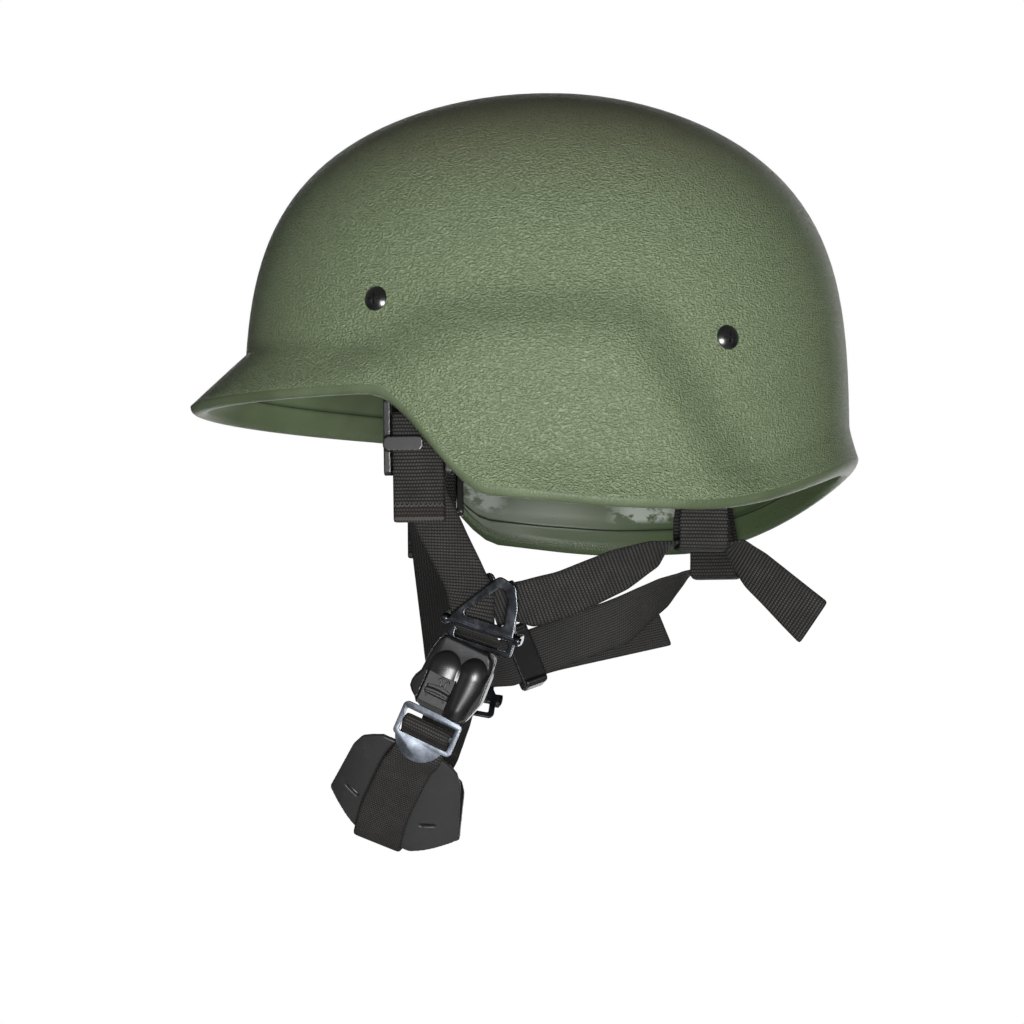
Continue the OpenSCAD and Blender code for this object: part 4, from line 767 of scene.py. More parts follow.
# Each route of the part's source in millimetres, as runs: the vector across half the strap, then
# the points that it holds for.
ROUTES: dict[str, tuple[tuple[Spot, ...], ...]] = {
    "CROWN_FRONT": (
        ((9.5, 5.6, 0), (40.8, -103.2, 73), (40.8, -103.2, 92)), ((9.3, 5.4, 0), (40.7, -103.1, 97.8)),
        ((8.9, 5, 0), (40.5, -102.6, 103.7)), ((8.2, 4.4, 0), (40.2, -101.7, 109.5)),
        ((7.4, 3.7, 0), (39.6, -100.2, 115.4)), ((6.6, 3.1, 0), (38.7, -98, 121.2)),
        ((5.7, 2.5, 0), (37.4, -94.9, 127.1)), ((5.1, 2.1, 0), (35.7, -90.7, 132.9)),
        ((4.7, 1.9, 0), (33.4, -85, 138.8)),
        ((4.6, 1.9, 0), (30.1, -76.8, 144.6), (9.7, -26.4, 154.9), (9.3, -25.2, 154.6),
         (8.9, -24.3, 153.8), (8.7, -23.8, 152.6), (8.7, -23.8, 151.3), (8.9, -24.3, 150.1),
         (9.3, -25.3, 149.4), (9.8, -26.5, 149.1), (10.2, -27.7, 149.4), (10.6, -28.6, 150.3),
         (10.8, -29.1, 151.5)),
    ),
    "CROWN_SIDE": (
        ((0, 11, 0), (85.6, -2.3, 73), (85.6, -2.3, 92)), ((0, 10.8, 0), (85.5, -2.3, 97.8)),
        ((0, 10.2, 0), (85.2, -2.3, 103.7)), ((0, 9.3, 0), (84.5, -2.3, 109.5)),
        ((0, 8.3, 0), (83.4, -2.3, 115.4)), ((0, 7.2, 0), (81.7, -2.3, 121.2)),
        ((0, 6.3, 0), (79.3, -2.3, 127.1)), ((0, 5.5, 0), (76.1, -2.3, 132.9)),
        ((0, 5.1, 0), (71.7, -2.3, 138.8)),
        ((0, 5, 0), (65.4, -2.3, 144.6), (26, -2.3, 154.9), (24.7, -2.3, 154.6), (23.7, -2.3, 153.8),
         (23.2, -2.3, 152.6), (23.2, -2.3, 151.3), (23.8, -2.3, 150.1), (24.8, -2.3, 149.4),
         (26.1, -2.3, 149.1), (27.4, -2.3, 149.4), (28.3, -2.3, 150.3), (28.9, -2.3, 151.5)),
    ),
    "CROWN_REAR": (
        ((-9.8, 5, 0), (38.5, 93, 73), (38.5, 93, 92)), ((-9.6, 4.8, 0), (38.5, 92.9, 97.8)),
        ((-9.1, 4.5, 0), (38.3, 92.5, 103.7)), ((-8.4, 4, 0), (37.9, 91.6, 109.5)),
        ((-7.5, 3.5, 0), (37.4, 90.2, 115.4)), ((-6.6, 2.9, 0), (36.6, 88.2, 121.2)),
        ((-5.8, 2.5, 0), (35.4, 85.3, 127.1)), ((-5.1, 2.1, 0), (33.8, 81.5, 132.9)),
        ((-4.7, 1.9, 0), (31.7, 76.1, 138.8)),
        ((-4.6, 1.9, 0), (28.6, 68.6, 144.6), (9.7, 21.8, 154.9), (9.3, 20.6, 154.6), (8.9, 19.7, 153.8),
         (8.7, 19.2, 152.6), (8.7, 19.2, 151.3), (8.9, 19.7, 150.1), (9.3, 20.7, 149.4),
         (9.8, 21.9, 149.1), (10.2, 23.1, 149.4), (10.6, 24, 150.3), (10.8, 24.5, 151.5)),
    ),
    "HANGER": (
        ((3.4, 8.1, 3.7), (86.2, -62.9, 65.6), (85.9, -63.1, 66.2), (85.4, -63.1, 66.7), (84.8, -63, 67),
         (84.2, -62.7, 67), (83.6, -62.4, 66.8), (83.2, -62.1, 66.4), (83.1, -61.7, 65.9),
         (83.1, -61.5, 65.3)), ((3, 8.3, 3), (83.9, -60.5, 61.4)), ((2.6, 8.6, 2.2), (84.6, -59.6, 57.5)),
        ((2.2, 8.9, 1.5), (85.4, -58.6, 53.6)), ((1.8, 9.2, 0.7), (86.2, -57.6, 49.7)),
        ((1.3, 9.5, 0), (87, -56.7, 45.8), (87, -56.7, 45), (87.3, -56.7, 44.2), (87.8, -56.8, 43.6),
         (88.5, -56.9, 43.2), (89.2, -57, 43), (90.1, -57.1, 43), (90.8, -57.2, 43.3),
         (91.4, -57.3, 43.8), (91.9, -57.4, 44.5), (92.1, -57.4, 45.3)),
        ((1.8, 9.2, 0.7), (90.9, -58.5, 49.3)), ((2.2, 8.9, 1.5), (89.7, -59.6, 53.4)),
        ((2.6, 8.6, 2.2), (88.5, -60.7, 57.5)), ((3, 8.3, 3), (87.3, -61.8, 61.6)),
    ),
    "TAIL": (
        ((1.5, 10.4, 0), (83.9, -56.2, 16), (86.2, -56.6, 38.6), (86.4, -56.6, 39.3), (86.9, -56.7, 40),
         (87.5, -56.8, 40.5), (88.2, -56.9, 40.8), (89, -57, 40.9), (89.8, -57.1, 40.7),
         (90.5, -57.2, 40.2), (91, -57.3, 39.6), (91.3, -57.3, 38.8), (91.3, -57.3, 38),
         (90.5, -57.2, 30), (89.7, -57.1, 22.1), (88.8, -56.9, 14.1), (88, -56.8, 6.1),
         (87.2, -56.7, -1.8), (87, -56.7, -2.2), (86.7, -56.6, -2.5), (86.3, -56.6, -2.6),
         (85.8, -56.5, -2.4), (85.6, -56.5, -2.1), (85.5, -56.5, -1.6), (86.4, -56.6, 7.3)),
    ),
    "FRONT_LEFT": (
        ((1.5, 10.4, 0), (83.8, -56.2, 15.7), (83.3, -56.2, 10.7)), ((1.5, 10.4, -0.1), (82.1, -53.4, 5)),
        ((1.6, 10.4, -0.3), (81, -50.6, -0.6)), ((1.7, 10.3, -0.4), (79.8, -47.9, -6.3)),
        ((1.8, 10.3, -0.5), (78.6, -45.1, -12)), ((1.9, 10.3, -0.6), (77.5, -42.3, -17.6)),
        ((1.9, 10.3, -0.8), (76.3, -39.6, -23.3)), ((2, 10.3, -0.9), (75.1, -36.8, -29)),
        ((1.8, 9.7, -1.6), (74.5, -36.2, -33.8)), ((1.5, 9.2, -2.2), (73.9, -35.6, -38.7)),
        ((1.3, 8.6, -2.9), (73.3, -34.9, -43.6)),
        ((1.3, 8.8, -3), (72.2, -34.4, -45.7), (69.6, -33.2, -47.7), (65.9, -32.6, -48.4)),
        ((1.2, 8.6, -3.5), (63.8, -34.1, -49.3)),
        ((1.1, 8.4, -4.1), (61.8, -35.7, -50.2), (61.2, -36.7, -52.5), (61.1, -36.9, -53),
         (61.2, -37.2, -53.5), (61.4, -37.4, -54), (61.7, -37.7, -54.4), (62.2, -37.9, -54.7),
         (62.7, -38, -54.9), (64.9, -38.5, -55.2)),
    ),
    "FRONT_RIGHT": (
        ((1.5, 10.4, 0), (83.8, -56.2, 15.7), (83.3, -56.2, 10.7)),
        ((1.6, 10.3, 0.1), (81.6, -55.1, 2.3)), ((1.7, 10.3, 0.2), (79.9, -54.1, -6.2)),
        ((1.8, 10.2, 0.3), (78.3, -53.1, -14.6)), ((1.9, 10.2, 0.4), (76.6, -52, -23.1)),
        ((2, 10.1, 0.5), (74.9, -51, -31.5)), ((2.1, 10.1, 0.6), (73.2, -49.9, -40)),
        ((2.3, 10, 0.7), (71.5, -48.9, -48.4)), ((2.1, 9.8, -0.1), (71, -47.9, -53.1)),
        ((1.9, 9.5, -0.9), (70.5, -46.9, -57.8)), ((1.7, 9.3, -1.6), (70, -46, -62.4)),
        ((0.3, 9.9, -3.4), (68.1, -49.3, -73.8), (65.3, -50.9, -78.5), (62.4, -52.4, -83.1),
         (59.6, -53.9, -87.8)),
    ),
    "NAPE_LEFT": (
        ((0.7, -2.9, 7.4), (73.2, -16.1, -32.7), (71.3, -20.5, -34.2), (70.1, -25, -35.9),
         (70, -25.7, -36.2), (70.3, -26.4, -36.5), (70.8, -27, -36.7), (71.6, -27.3, -36.9),
         (72.4, -27.3, -37), (73.2, -27.1, -37), (73.8, -26.5, -36.8), (74.1, -25.8, -36.6),
         (75.4, -21.4, -35)), ((3.4, -3.2, 9.1), (74.9, -14, -35.4)),
        ((3.8, -3.4, 8.9), (74.8, -8.7, -34)), ((4.2, -3.6, 8.8), (74.6, -3.3, -32.6)),
        ((4.6, -3.8, 8.6), (74.5, 2, -31.2)), ((5, -3.6, 8.3), (74.9, 7.5, -28.8)),
        ((5.4, -3.5, 8.1), (75.2, 13, -26.4)), ((5.8, -3.4, 7.8), (75.6, 18.5, -24)),
        ((6.2, -3.2, 7.6), (76, 24, -21.6)), ((6.7, -2.7, 6.5), (76.4, 28.7, -19.5)),
        ((7.1, -2.1, 5.5), (76.9, 33.3, -17.3)), ((7.6, -1.6, 4.4), (77.3, 38, -15.2)),
        ((5.1, 0.8, 0), (76.3, 45.4, -11), (72.8, 67.7, -11)), ((6.3, 1.6, 2), (72.2, 69.6, -12.3)),
        ((7.4, 2.4, 4), (71.6, 71.5, -13.6)), ((6.9, 3.2, 5.2), (72, 75.2, -17.6)),
        ((6.4, 4, 6.4), (72.4, 79, -21.5)), ((5.8, 4.5, 7), (73.5, 86.8, -28.7)),
        ((5.2, 5.1, 7.6), (74.5, 94.5, -36)), ((4.6, 5.6, 8.2), (75.6, 102.3, -43.2)),
    ),
    "NAPE_RIGHT": (
        ((0.9, -3.8, 9.5), (88.8, 44.1, -31.5), (86, 31, -34.6), (83.3, 17.8, -37.7), (80.5, 4.6, -40.8)),
        ((0.9, -3.9, 9.7), (77.8, -8.5, -43.9), (75.5, -16.7, -46.9), (73.2, -24.8, -50)),
        ((0.7, -3, 7.4), (72.4, -31.9, -52.7), (71.2, -36.3, -54.4), (70.8, -37, -54.7),
         (70.2, -37.5, -54.8), (69.4, -37.8, -54.8), (68.6, -37.8, -54.8), (67.9, -37.5, -54.6),
         (67.3, -36.9, -54.3), (67.1, -36.2, -54), (67.1, -35.4, -53.7), (68.4, -31, -52)),
        ((0.9, -3.9, 9.7), (71.4, -24.4, -49.7), (73.7, -16.3, -46.6), (75.9, -8.1, -43.5)),
        ((-0.4, -3.9, 9.5), (74.8, 2.9, -39.5)), ((-1.7, -4, 9.4), (73.6, 14, -35.5)),
        ((-3, -4, 9.2), (72.5, 25, -31.5)), ((-4, -3.5, 8.2), (73, 29.8, -28.4)),
        ((-5, -3, 7.3), (73.5, 34.5, -25.2)), ((-6, -2.5, 6.3), (74, 39.2, -22.1)),
        ((-7, -2, 5.4), (74.5, 44, -19)), ((-6.4, -1.6, 3.6), (72.5, 47.6, -16.3)),
        ((-5.7, -1.3, 1.8), (70.5, 51.2, -13.7)), ((-5.1, -0.9, 0), (68.5, 54.9, -11), (64.1, 80, -11)),
    ),
    "REAR_LOOP_LEFT": (
        ((-3.4, 6.7, -1.1), (83.5, 60.6, 46.6), (83.3, 60.8, 48.5), (83.1, 60.8, 49.1),
         (82.7, 60.7, 49.6), (82.2, 60.4, 50), (81.6, 60.2, 50.1), (81.1, 59.8, 49.9),
         (80.6, 59.5, 49.5), (80.3, 59.3, 49), (80.3, 59.2, 48.3), (80.5, 59, 46.4)),
        ((-3.1, 7.3, -0.8), (77.8, 58.3, 36.7)), ((-2.7, 8, -0.6), (75.2, 57.7, 27.1)),
        ((-2.3, 8.6, -0.4), (72.5, 57, 17.4)), ((-1.9, 9.2, -0.2), (69.9, 56.3, 7.7)),
        ((-1.6, 9.9, 0), (67.2, 55.6, -2), (67.2, 55.6, -10), (67.3, 55.7, -11), (67.8, 55.7, -11.9),
         (68.5, 55.8, -12.6), (69.4, 56, -13), (70.4, 56.1, -13.2), (78.6, 57.5, -13.2),
         (79.6, 57.6, -13), (80.5, 57.8, -12.6), (81.2, 57.9, -11.9), (81.7, 57.9, -11), (81.8, 58, -10),
         (81.8, 58, -2)), ((-1.9, 9.2, -0.2), (82.1, 58.5, 7.7)), ((-2.3, 8.6, -0.4), (82.5, 59, 17.4)),
        ((-2.7, 8, -0.6), (82.8, 59.5, 27.2)), ((-3.1, 7.3, -0.8), (83.2, 60.1, 36.9)),
    ),
    "REAR_LOOP_RIGHT": (
        ((-3.5, 6.7, -0.7), (82.9, 61.7, 46.5), (82.8, 61.8, 48.3), (82.6, 61.8, 49), (82.2, 61.6, 49.5),
         (81.7, 61.4, 49.9), (81.1, 61.1, 50), (80.6, 60.8, 49.8), (80.1, 60.5, 49.4),
         (79.8, 60.3, 48.8), (79.8, 60.2, 48.2), (79.9, 60.1, 46.3)),
        ((-3.1, 7.3, -0.5), (75.8, 61.1, 36.6)), ((-2.8, 8, -0.4), (71.6, 62, 27)),
        ((-2.4, 8.6, -0.3), (67.5, 63, 17.3)), ((-2.1, 9.2, -0.1), (63.4, 64, 7.7)),
        ((-1.7, 9.8, 0), (59.2, 64.9, -2), (59.2, 64.9, -10), (59.4, 64.9, -11), (59.8, 65, -11.9),
         (60.5, 65.1, -12.6), (61.4, 65.3, -13), (62.4, 65.5, -13.2), (70.6, 66.9, -13.2),
         (71.6, 67.1, -13), (72.5, 67.3, -12.6), (73.2, 67.4, -11.9), (73.6, 67.5, -11),
         (73.8, 67.5, -10), (73.8, 67.5, -2)), ((-2.1, 9.2, -0.1), (75.6, 66.3, 7.7)),
        ((-2.4, 8.6, -0.3), (77.4, 65.2, 17.4)), ((-2.8, 8, -0.4), (79.3, 64, 27.1)),
        ((-3.1, 7.3, -0.5), (81.1, 62.9, 36.8)),
    ),
    "CHIN": (
        ((1.2, 9.4, -4.5), (50.1, -56.9, -92.2), (51.3, -54.9, -87.8), (53.2, -54.1, -85.7),
         (54.2, -53.7, -84.5), (54.5, -53.4, -83.8), (55.2, -53.2, -83.2), (56, -53.2, -82.9),
         (56.9, -53.3, -82.9), (57.7, -53.5, -83.2), (58.3, -53.9, -83.8), (58.6, -54.3, -84.5),
         (58.6, -54.7, -85.3), (58, -55.2, -86.6), (55.9, -55.4, -87.5), (53.4, -55.6, -88.7),
         (52.8, -56.6, -90.8), (51.6, -58.6, -95.2)),
        ((0, 9.7, -3.9), (43.9, -63.1, -100.1), (31, -68.5, -109.1), (18.6, -73.2, -117.8),
         (10.3, -75.3, -123.8), (6.2, -76.2, -126.5), (3.1, -76.7, -128.1), (0, -76.8, -128.9),
         (-3.1, -76.3, -128.3), (-6.2, -75.3, -126.8), (-10.3, -73.9, -124.3), (-18.6, -70.4, -118.9),
         (-28.4, -66.1, -112.3), (-37.2, -63.3, -105.9)),
        ((-0.3, 9.9, -3.4), (-61.2, -54.3, -88.7), (-63.2, -53.3, -85.5), (-65.1, -52.2, -82.4),
         (-67, -51.2, -79.2), (-68.9, -50.2, -76.1)),
    ),
}


def stations(route: str) -> tuple[list[Vector], list[Vector]]:
    """A route's points, and for each of them the vector across half the strap."""
    points, halves = [], []
    for half, *spots in ROUTES[route]:
        points += [Vector(spot) for spot in spots]
        halves += [Vector(half) for _ in spots]
    return points, halves


def on_curve(points: Sequence[Vector], step: float) -> list[tuple[int, float, Vector]]:
    """Points on a smooth curve through a route's points.

    Args:
        points: the route, in millimetres.
        step: the greatest spacing wanted.

    Returns:
        For each point the span it lies in, its share of that span and its place.
    """

    def apart(a: Vector, b: Vector) -> float:
        """The root of two points' distance, never 0."""
        return max((b - a).length, 1e-4) ** 0.5

    found = []
    last = len(points) - 1
    for i in range(last):
        p1, p2 = points[i], points[i + 1]
        p0 = points[i - 1] if i > 0 else p1 * 2 - p2
        p3 = points[i + 2] if i + 2 <= last else p2 * 2 - p1
        t0 = 0.0
        t1 = t0 + apart(p0, p1)
        t2 = t1 + apart(p1, p2)
        t3 = t2 + apart(p2, p3)
        count = max(1, math.ceil((p2 - p1).length / step))
        for k in range(count):
            t = t1 + (t2 - t1) * k / count
            a1 = p0 * ((t1 - t) / (t1 - t0)) + p1 * ((t - t0) / (t1 - t0))
            a2 = p1 * ((t2 - t) / (t2 - t1)) + p2 * ((t - t1) / (t2 - t1))
            a3 = p2 * ((t3 - t) / (t3 - t2)) + p3 * ((t - t2) / (t3 - t2))
            b1 = a1 * ((t2 - t) / (t2 - t0)) + a2 * ((t - t0) / (t2 - t0))
            b2 = a2 * ((t3 - t) / (t3 - t1)) + a3 * ((t - t1) / (t3 - t1))
            found.append((i, k / count, b1 * ((t2 - t) / (t2 - t1)) + b2 * ((t - t1) / (t2 - t1))))
    found.append((last - 1, 1.0, points[last]))
    return found


@dataclass
class Strap:
    """One length of flat webbing along a route of the part's source, its sizes in millimetres.

    Cupping bows it across. A strap that counts its cloth from_end has its free end there, with
    that length folded back.
    """

    name: str
    route: str
    body: Optional[str]
    node: str
    finish: Finish = WEAVE
    slot: Slot = Slot.WEBBING
    mirrored: bool = False
    closed: bool = False
    thick: float = 1.5
    step: float = 2.2
    across: int = 8
    cupping: float = 0.0
    from_end: bool = False
    folded: float = 0.0

    def form(self) -> Form:
        """The strap's middle surface, with UVs in metres."""
        points, halves = stations(self.route)
        if self.closed:
            points.append(points[0].copy())
            halves.append(halves[0].copy())
        line = []
        for i, share, spot in on_curve(points, self.step):
            line.append((spot, halves[i].lerp(halves[i + 1], share)))
        lengths = [0.0]
        for a, b in zip(line, line[1:]):
            lengths.append(lengths[-1] + (b[0] - a[0]).length)
        rows = len(line) - 1
        flip = Matrix.Diagonal((-1.0, 1.0, 1.0)) if self.mirrored else Matrix.Identity(3)

        def place(across: float, along: float) -> Vector:
            """The point at these shares across and along."""
            index = min(round(along * rows), rows)
            spot, half = line[index]
            before, after = line[max(index - 1, 0)][0], line[min(index + 1, rows)][0]
            lift = (after - before).cross(half)
            if lift.length > 0:
                lift.normalize()
            side = 2 * across - 1
            bow = self.cupping * (side * side - 0.4)
            return (flip @ (spot + half * side + lift * bow)) * MM

        width = 2 * max(half.length for _, half in line)

        def cloth(share: Vector) -> Pair:
            """The place across and along the strap at these shares, in metres."""
            run = lengths[min(round(share.y * rows), rows)]
            if self.from_end:
                run = abs(lengths[-1] - run - self.folded)
            return (share.x - 0.5) * width * MM, run * MM

        form = sheet_form(self.across, rows, place)
        lay_cloth(form, cloth)
        if self.closed:
            weld(form)
        return form

    def build(self) -> Object:
        """Makes the strap and gives it its body and node."""
        obj = put(self.name, self.form(), [self.finish])
        thickened(obj, self.thick, 1)
        return hand_over(settled(obj), self.body, self.slot, self.node)


@dataclass
class Casting:
    """A moulded or cast piece: a CAD node's copy with its edges rounded as a mould rounds them."""

    node: str
    body: str
    finish: Finish
    slot: Slot
    voxel: float = 0.3
    soften: int = 4

    def build(self) -> Object:
        """Makes the piece and gives it its body and node."""
        obj = put(self.node + "_cast", copied(self.node), [self.finish])
        modifier(obj, "REMESH", mode="VOXEL", voxel_size=self.voxel * MM, use_smooth_shade=True)
        modifier(obj, "SMOOTH", factor=0.5, iterations=self.soften)
        return hand_over(settled(obj), self.body, self.slot, self.node)


@dataclass
class Pressing:
    """A piece of sheet or plate: a CAD node's copy with its edges broken by a narrow bevel."""

    node: str
    body: str
    finish: Finish
    slot: Slot
    edge: float = 0.25
    segments: int = 2
    flat_deg: float = 1.0
    bevel_deg: float = 38.0
    sharp_deg: float = 50.0

    def build(self) -> Object:
        """Makes the piece and gives it its body and node."""
        form = copied(self.node)
        flat = math.radians(self.flat_deg)
        bmesh.ops.dissolve_limit(form, angle_limit=flat, verts=form.verts, edges=form.edges)
        obj = put(self.node + "_pressed", form, [self.finish])
        modifier(
            obj, "BEVEL", width=self.edge * MM, segments=self.segments, limit_method="ANGLE",
            angle_limit=math.radians(self.bevel_deg), use_clamp_overlap=True,
        )
        settled(obj)
        obj.data.set_sharp_from_angle(angle=math.radians(self.sharp_deg))
        return hand_over(obj, self.body, self.slot, self.node)


# --------------------------------------------------------------------- the shell


@dataclass
class Shell:
    """The one-piece shell: dome, ear bulges, flared rim and rounded lip, with a stepped inside.

    Sizes are in millimetres; x is across, y along the helmet to its rear and z up. Names with
    slope are of lines in the side view, names with power of rounded outlines.
    """

    rim_half_w: float = 120.7
    rim_front: float = 155.5
    rim_rear: float = 124.5
    crown: float = 185.0
    dome_half_w: float = 105.0
    dome_front: float = 130.6
    dome_rear: float = 123.1
    wall: float = 7.8
    brow: float = 42.5
    nape: float = 27.0
    flare: float = 17.0
    brim: float = 7.0
    bulge_out: float = 11.0
    bulge_top: float = 83.0
    shift: float = -2.3
    lip: float = 3.6
    step_height: float = 10.7
    step_depth: float = 1.3
    step_round: float = 0.3
    sides: int = 160
    flare_rows: int = 10
    dome_rows: int = 36
    lip_rows: int = 8
    inner_heights: tuple[float, ...] = (
        3.6, 5.6, 7.6, 9.4, 10.2, 10.5, 10.7, 10.9, 11.2, 12.2, 14.4, 17.0,
    )
    brow_fall: Pair = (-77.5, -27.5)
    brow_tilt: float = 2 / 100
    brow_from: float = -105.0
    ear_rise: float = 6.0
    ear_fall: Pair = (-50.0, 30.0)
    nape_from: float = 51.7
    nape_run: float = 72.8
    nape_power: float = 1.89
    bulge_front: Pair = (-69.0, -14.0)
    bulge_front_slope: Pair = (0.511, 0.858)
    bulge_rear: Pair = (40.0, -9.3)
    bulge_rear_slope: Pair = (0.865, 0.503)
    bulge_edge: Pair = (-9.0, 16.0)
    bulge_round: Pair = (9.0, 12.0)
    dome_foot: float = 4.5
    dome_power: float = 4.49
    dome_round: float = 2 / 2.2
    lean_front: float = 1.91
    lean_rear: float = 1.69
    rim_power_front: float = 1.73
    rim_power_rear: float = 1.95
    flare_power: float = 1.25
    brim_power: float = 1.3

    def rim_z(self, y: float) -> float:
        """Height of the rim at a place along the helmet."""
        w = ease(*self.brow_fall, y)
        rise = min(max((y - self.nape_from) / self.nape_run, 0.0), 1.3) ** self.nape_power
        brow = self.brow - self.brow_tilt * (y - self.brow_from)
        return brow * (1 - w) + self.ear_rise * (1 - ease(*self.ear_fall, y)) + self.nape * rise * w

    def bulge(self, y: float, z: float) -> float:
        """How far the ear bulge stands out there."""

        def soft_min(a: float, b: float, k: float) -> float:
            """The lesser of two, rounded over k."""
            h = min(max(0.5 + (b - a) / (2 * k), 0.0), 1.0)
            return b * (1 - h) + a * h - k * h * (1 - h)

        top = self.bulge_top - z
        (front_y, front_z), (rear_y, rear_z) = self.bulge_front, self.bulge_rear
        (ahead, above), (behind, below) = self.bulge_front_slope, self.bulge_rear_slope
        front = (y - front_y) * ahead - (z - self.bulge_top - front_z) * above
        rear = -((y - rear_y) * behind + (z - self.bulge_top - rear_z) * below)
        inside = soft_min(soft_min(top, front, self.bulge_round[0]), rear, self.bulge_round[1])
        return self.bulge_out * ease(*self.bulge_edge, inside)

    def dome(self, a: float, z: float, inset: float) -> Vector:
        """Point of the dome at an angle round from the front, at a height."""

        def power(v: float, p: float) -> float:
            """A signed power."""
            return math.copysign(abs(v) ** p, v)

        s, c = math.sin(a), -math.cos(a)
        lean = self.lean_front * (1 - (1 + c) / 2) + self.lean_rear * (1 + c) / 2
        foot = self.dome_foot
        h = min(max((z - foot) / (self.crown - inset - foot), 0.0), 1.0)
        g = (1 - h**self.dome_power) ** (1 / lean)
        reach = self.dome_front if c < 0 else self.dome_rear
        x = (self.dome_half_w - inset) * power(s, self.dome_round) * g
        y = self.shift + (reach - inset) * power(c, self.dome_round) * g
        return Vector((x + math.copysign(self.bulge(y, z) * abs(s) * g, s), y, z))

    def rim(self, a: float, inset: float) -> Vector:
        """Point of the rim's outline at an angle round from the front."""
        s, c = math.sin(a), -math.cos(a)
        p = self.rim_power_front if c < 0 else self.rim_power_rear
        reach = self.rim_front if c < 0 else self.rim_rear
        x = math.copysign((self.rim_half_w - inset) * abs(s) ** (2 / p), s)
        return Vector((x, math.copysign((reach - inset) * abs(c) ** (2 / p), c), 0))

    def brim_share(self, a: float) -> float:
        """How much of the brim's extra height there is at an angle round from the front."""
        return max(math.cos(a), 0.0) ** self.brim_power

    def wall_point(self, a: float, t: float, inset: float) -> Vector:
        """Point of the wall.

        Args:
            a: the angle round from the front.
            t: -1 at the rim, 0 at the top of the flare and 1 at the crown.
            inset: how far inside the outer face.
        """
        rim = self.rim(a, inset)
        share = self.brim_share(a)
        low = self.rim_z(rim.y) + self.lip
        high = self.rim_z(rim.y) + self.flare + self.brim * share
        if t <= 0:
            up = t + 1
            spot = self.dome(a, low + (high - low) * up, inset)
            f = (1 - up) ** self.flare_power * (1 - share) + (1 - up) * share
            return Vector((spot.x + (rim.x - spot.x) * f, spot.y + (rim.y - spot.y) * f, spot.z))
        top = self.crown - inset
        return self.dome(a, top - (top - high) * (1 - t) ** 2, inset)

    def marks(self, a: float, z: float) -> Pair:
        """A place's height over the top of the flare and over the rim's edge, in metres."""
        over = z - self.rim_z(self.rim(a, 0.0).y)
        return (over - self.flare - self.brim * self.brim_share(a)) * MM, over * MM

    def build(self) -> Object:
        """Makes the shell: outer wall from the crown down, the lip, and the inner wall up again."""
        down = [1 - k / self.dome_rows for k in range(self.dome_rows)]
        down += [-k / self.flare_rows for k in range(self.flare_rows + 1)]
        outer_rows = len(down) - 1
        lip_end = outer_rows + self.lip_rows + 1
        flare_end = lip_end + len(self.inner_heights) - 1
        rows = flare_end + self.dome_rows

        def place(round_share: float, along: float) -> Vector:
            """The point at these shares round the helmet and along the section."""
            a = 2 * math.pi * round_share
            row = round(along * rows)
            if row <= outer_rows:
                return self.wall_point(a, down[row], 0.0) * MM
            if row < lip_end:
                q = math.pi * (row - outer_rows) / (self.lip_rows + 1)
                out, inn = self.wall_point(a, -1.0, 0.0), self.wall_point(a, -1.0, self.wall)
                spot = out.lerp(inn, (1 - math.cos(q)) / 2)
                return (spot - Vector((0, 0, self.lip * math.sin(q)))) * MM
            if row <= flare_end:
                h = self.inner_heights[row - lip_end]
                tall = self.flare + self.brim * self.brim_share(a)
                top = h == self.inner_heights[-1]
                t = 0.0 if top else (h - self.lip) / (tall - self.lip) - 1
            else:
                h = self.flare + 1.0
                t = (row - flare_end) / self.dome_rows
            back = self.step_depth * ease(-self.step_round, self.step_round, h - self.step_height)
            return self.wall_point(a, t, self.wall - back) * MM

        form = sheet_form(self.sides, rows, place)
        uv = form.loops.layers.uv[CLOTH]
        inner_from = (outer_rows + 0.5) / rows
        for face in form.faces:
            share = sum(loop[uv].uv.y for loop in face.loops) / len(face.loops)
            face.material_index = 1 if share > inner_from else 0
            for loop in face.loops:
                loop[uv].uv = self.marks(2 * math.pi * loop[uv].uv.x, loop.vert.co.z / MM)
        weld(form)
        bmesh.ops.dissolve_degenerate(form, edges=form.edges, dist=WELD / 10)
        bmesh.ops.recalc_face_normals(form, faces=form.faces)
        obj = put("shell_coated", form, [COAT, INNER])
        return hand_over(obj, "helmet", Slot.SHELL, "shell")


# --------------------------------------------------------- suspension and bands


@dataclass
class Hoop:
    """A band of webbing, leather or foam that stands on edge round the inside, in millimetres."""

    name: str
    node: str
    half_x: float
    front: float
    rear: float
    power: float
    low: float
    high: float
    thick: float
    finish: Finish
    slot: Slot
    start_deg: float = 0.0
    end_deg: float = 360.0
    shift: float = -2.3
    column_deg: float = 2.5
    rows: int = 6

    def reach(self, a: float) -> float:
        """How far out the band stands at an angle from the front."""
        length = self.front if math.cos(a) > 0 else self.rear
        sideways, lengthwise = abs(math.sin(a)) / self.half_x, abs(math.cos(a)) / length
        return (sideways**self.power + lengthwise**self.power) ** (-1 / self.power)

    def build(self) -> Object:
        """Makes the band and gives it its node."""
        columns = max(int((self.end_deg - self.start_deg) / self.column_deg), 8)
        span = math.radians(self.end_deg - self.start_deg)
        tall = self.high - self.low
        length = span * (self.half_x + self.front) / 2

        def place(round_share: float, up: float) -> Vector:
            """The point at these shares round and up."""
            a = math.radians(self.start_deg) + span * round_share
            r = self.reach(a) - self.thick / 2
            return Vector((r * math.sin(a), self.shift - r * math.cos(a), self.low + tall * up)) * MM

        form = sheet_form(columns, self.rows, place)
        lay_cloth(form, lambda share: ((share.y - 0.5) * tall * MM, share.x * length * MM))
        weld(form)
        obj = put(self.name, form, [self.finish])
        thickened(obj, self.thick, 1)
        return hand_over(settled(obj), "helmet", self.slot, self.node)


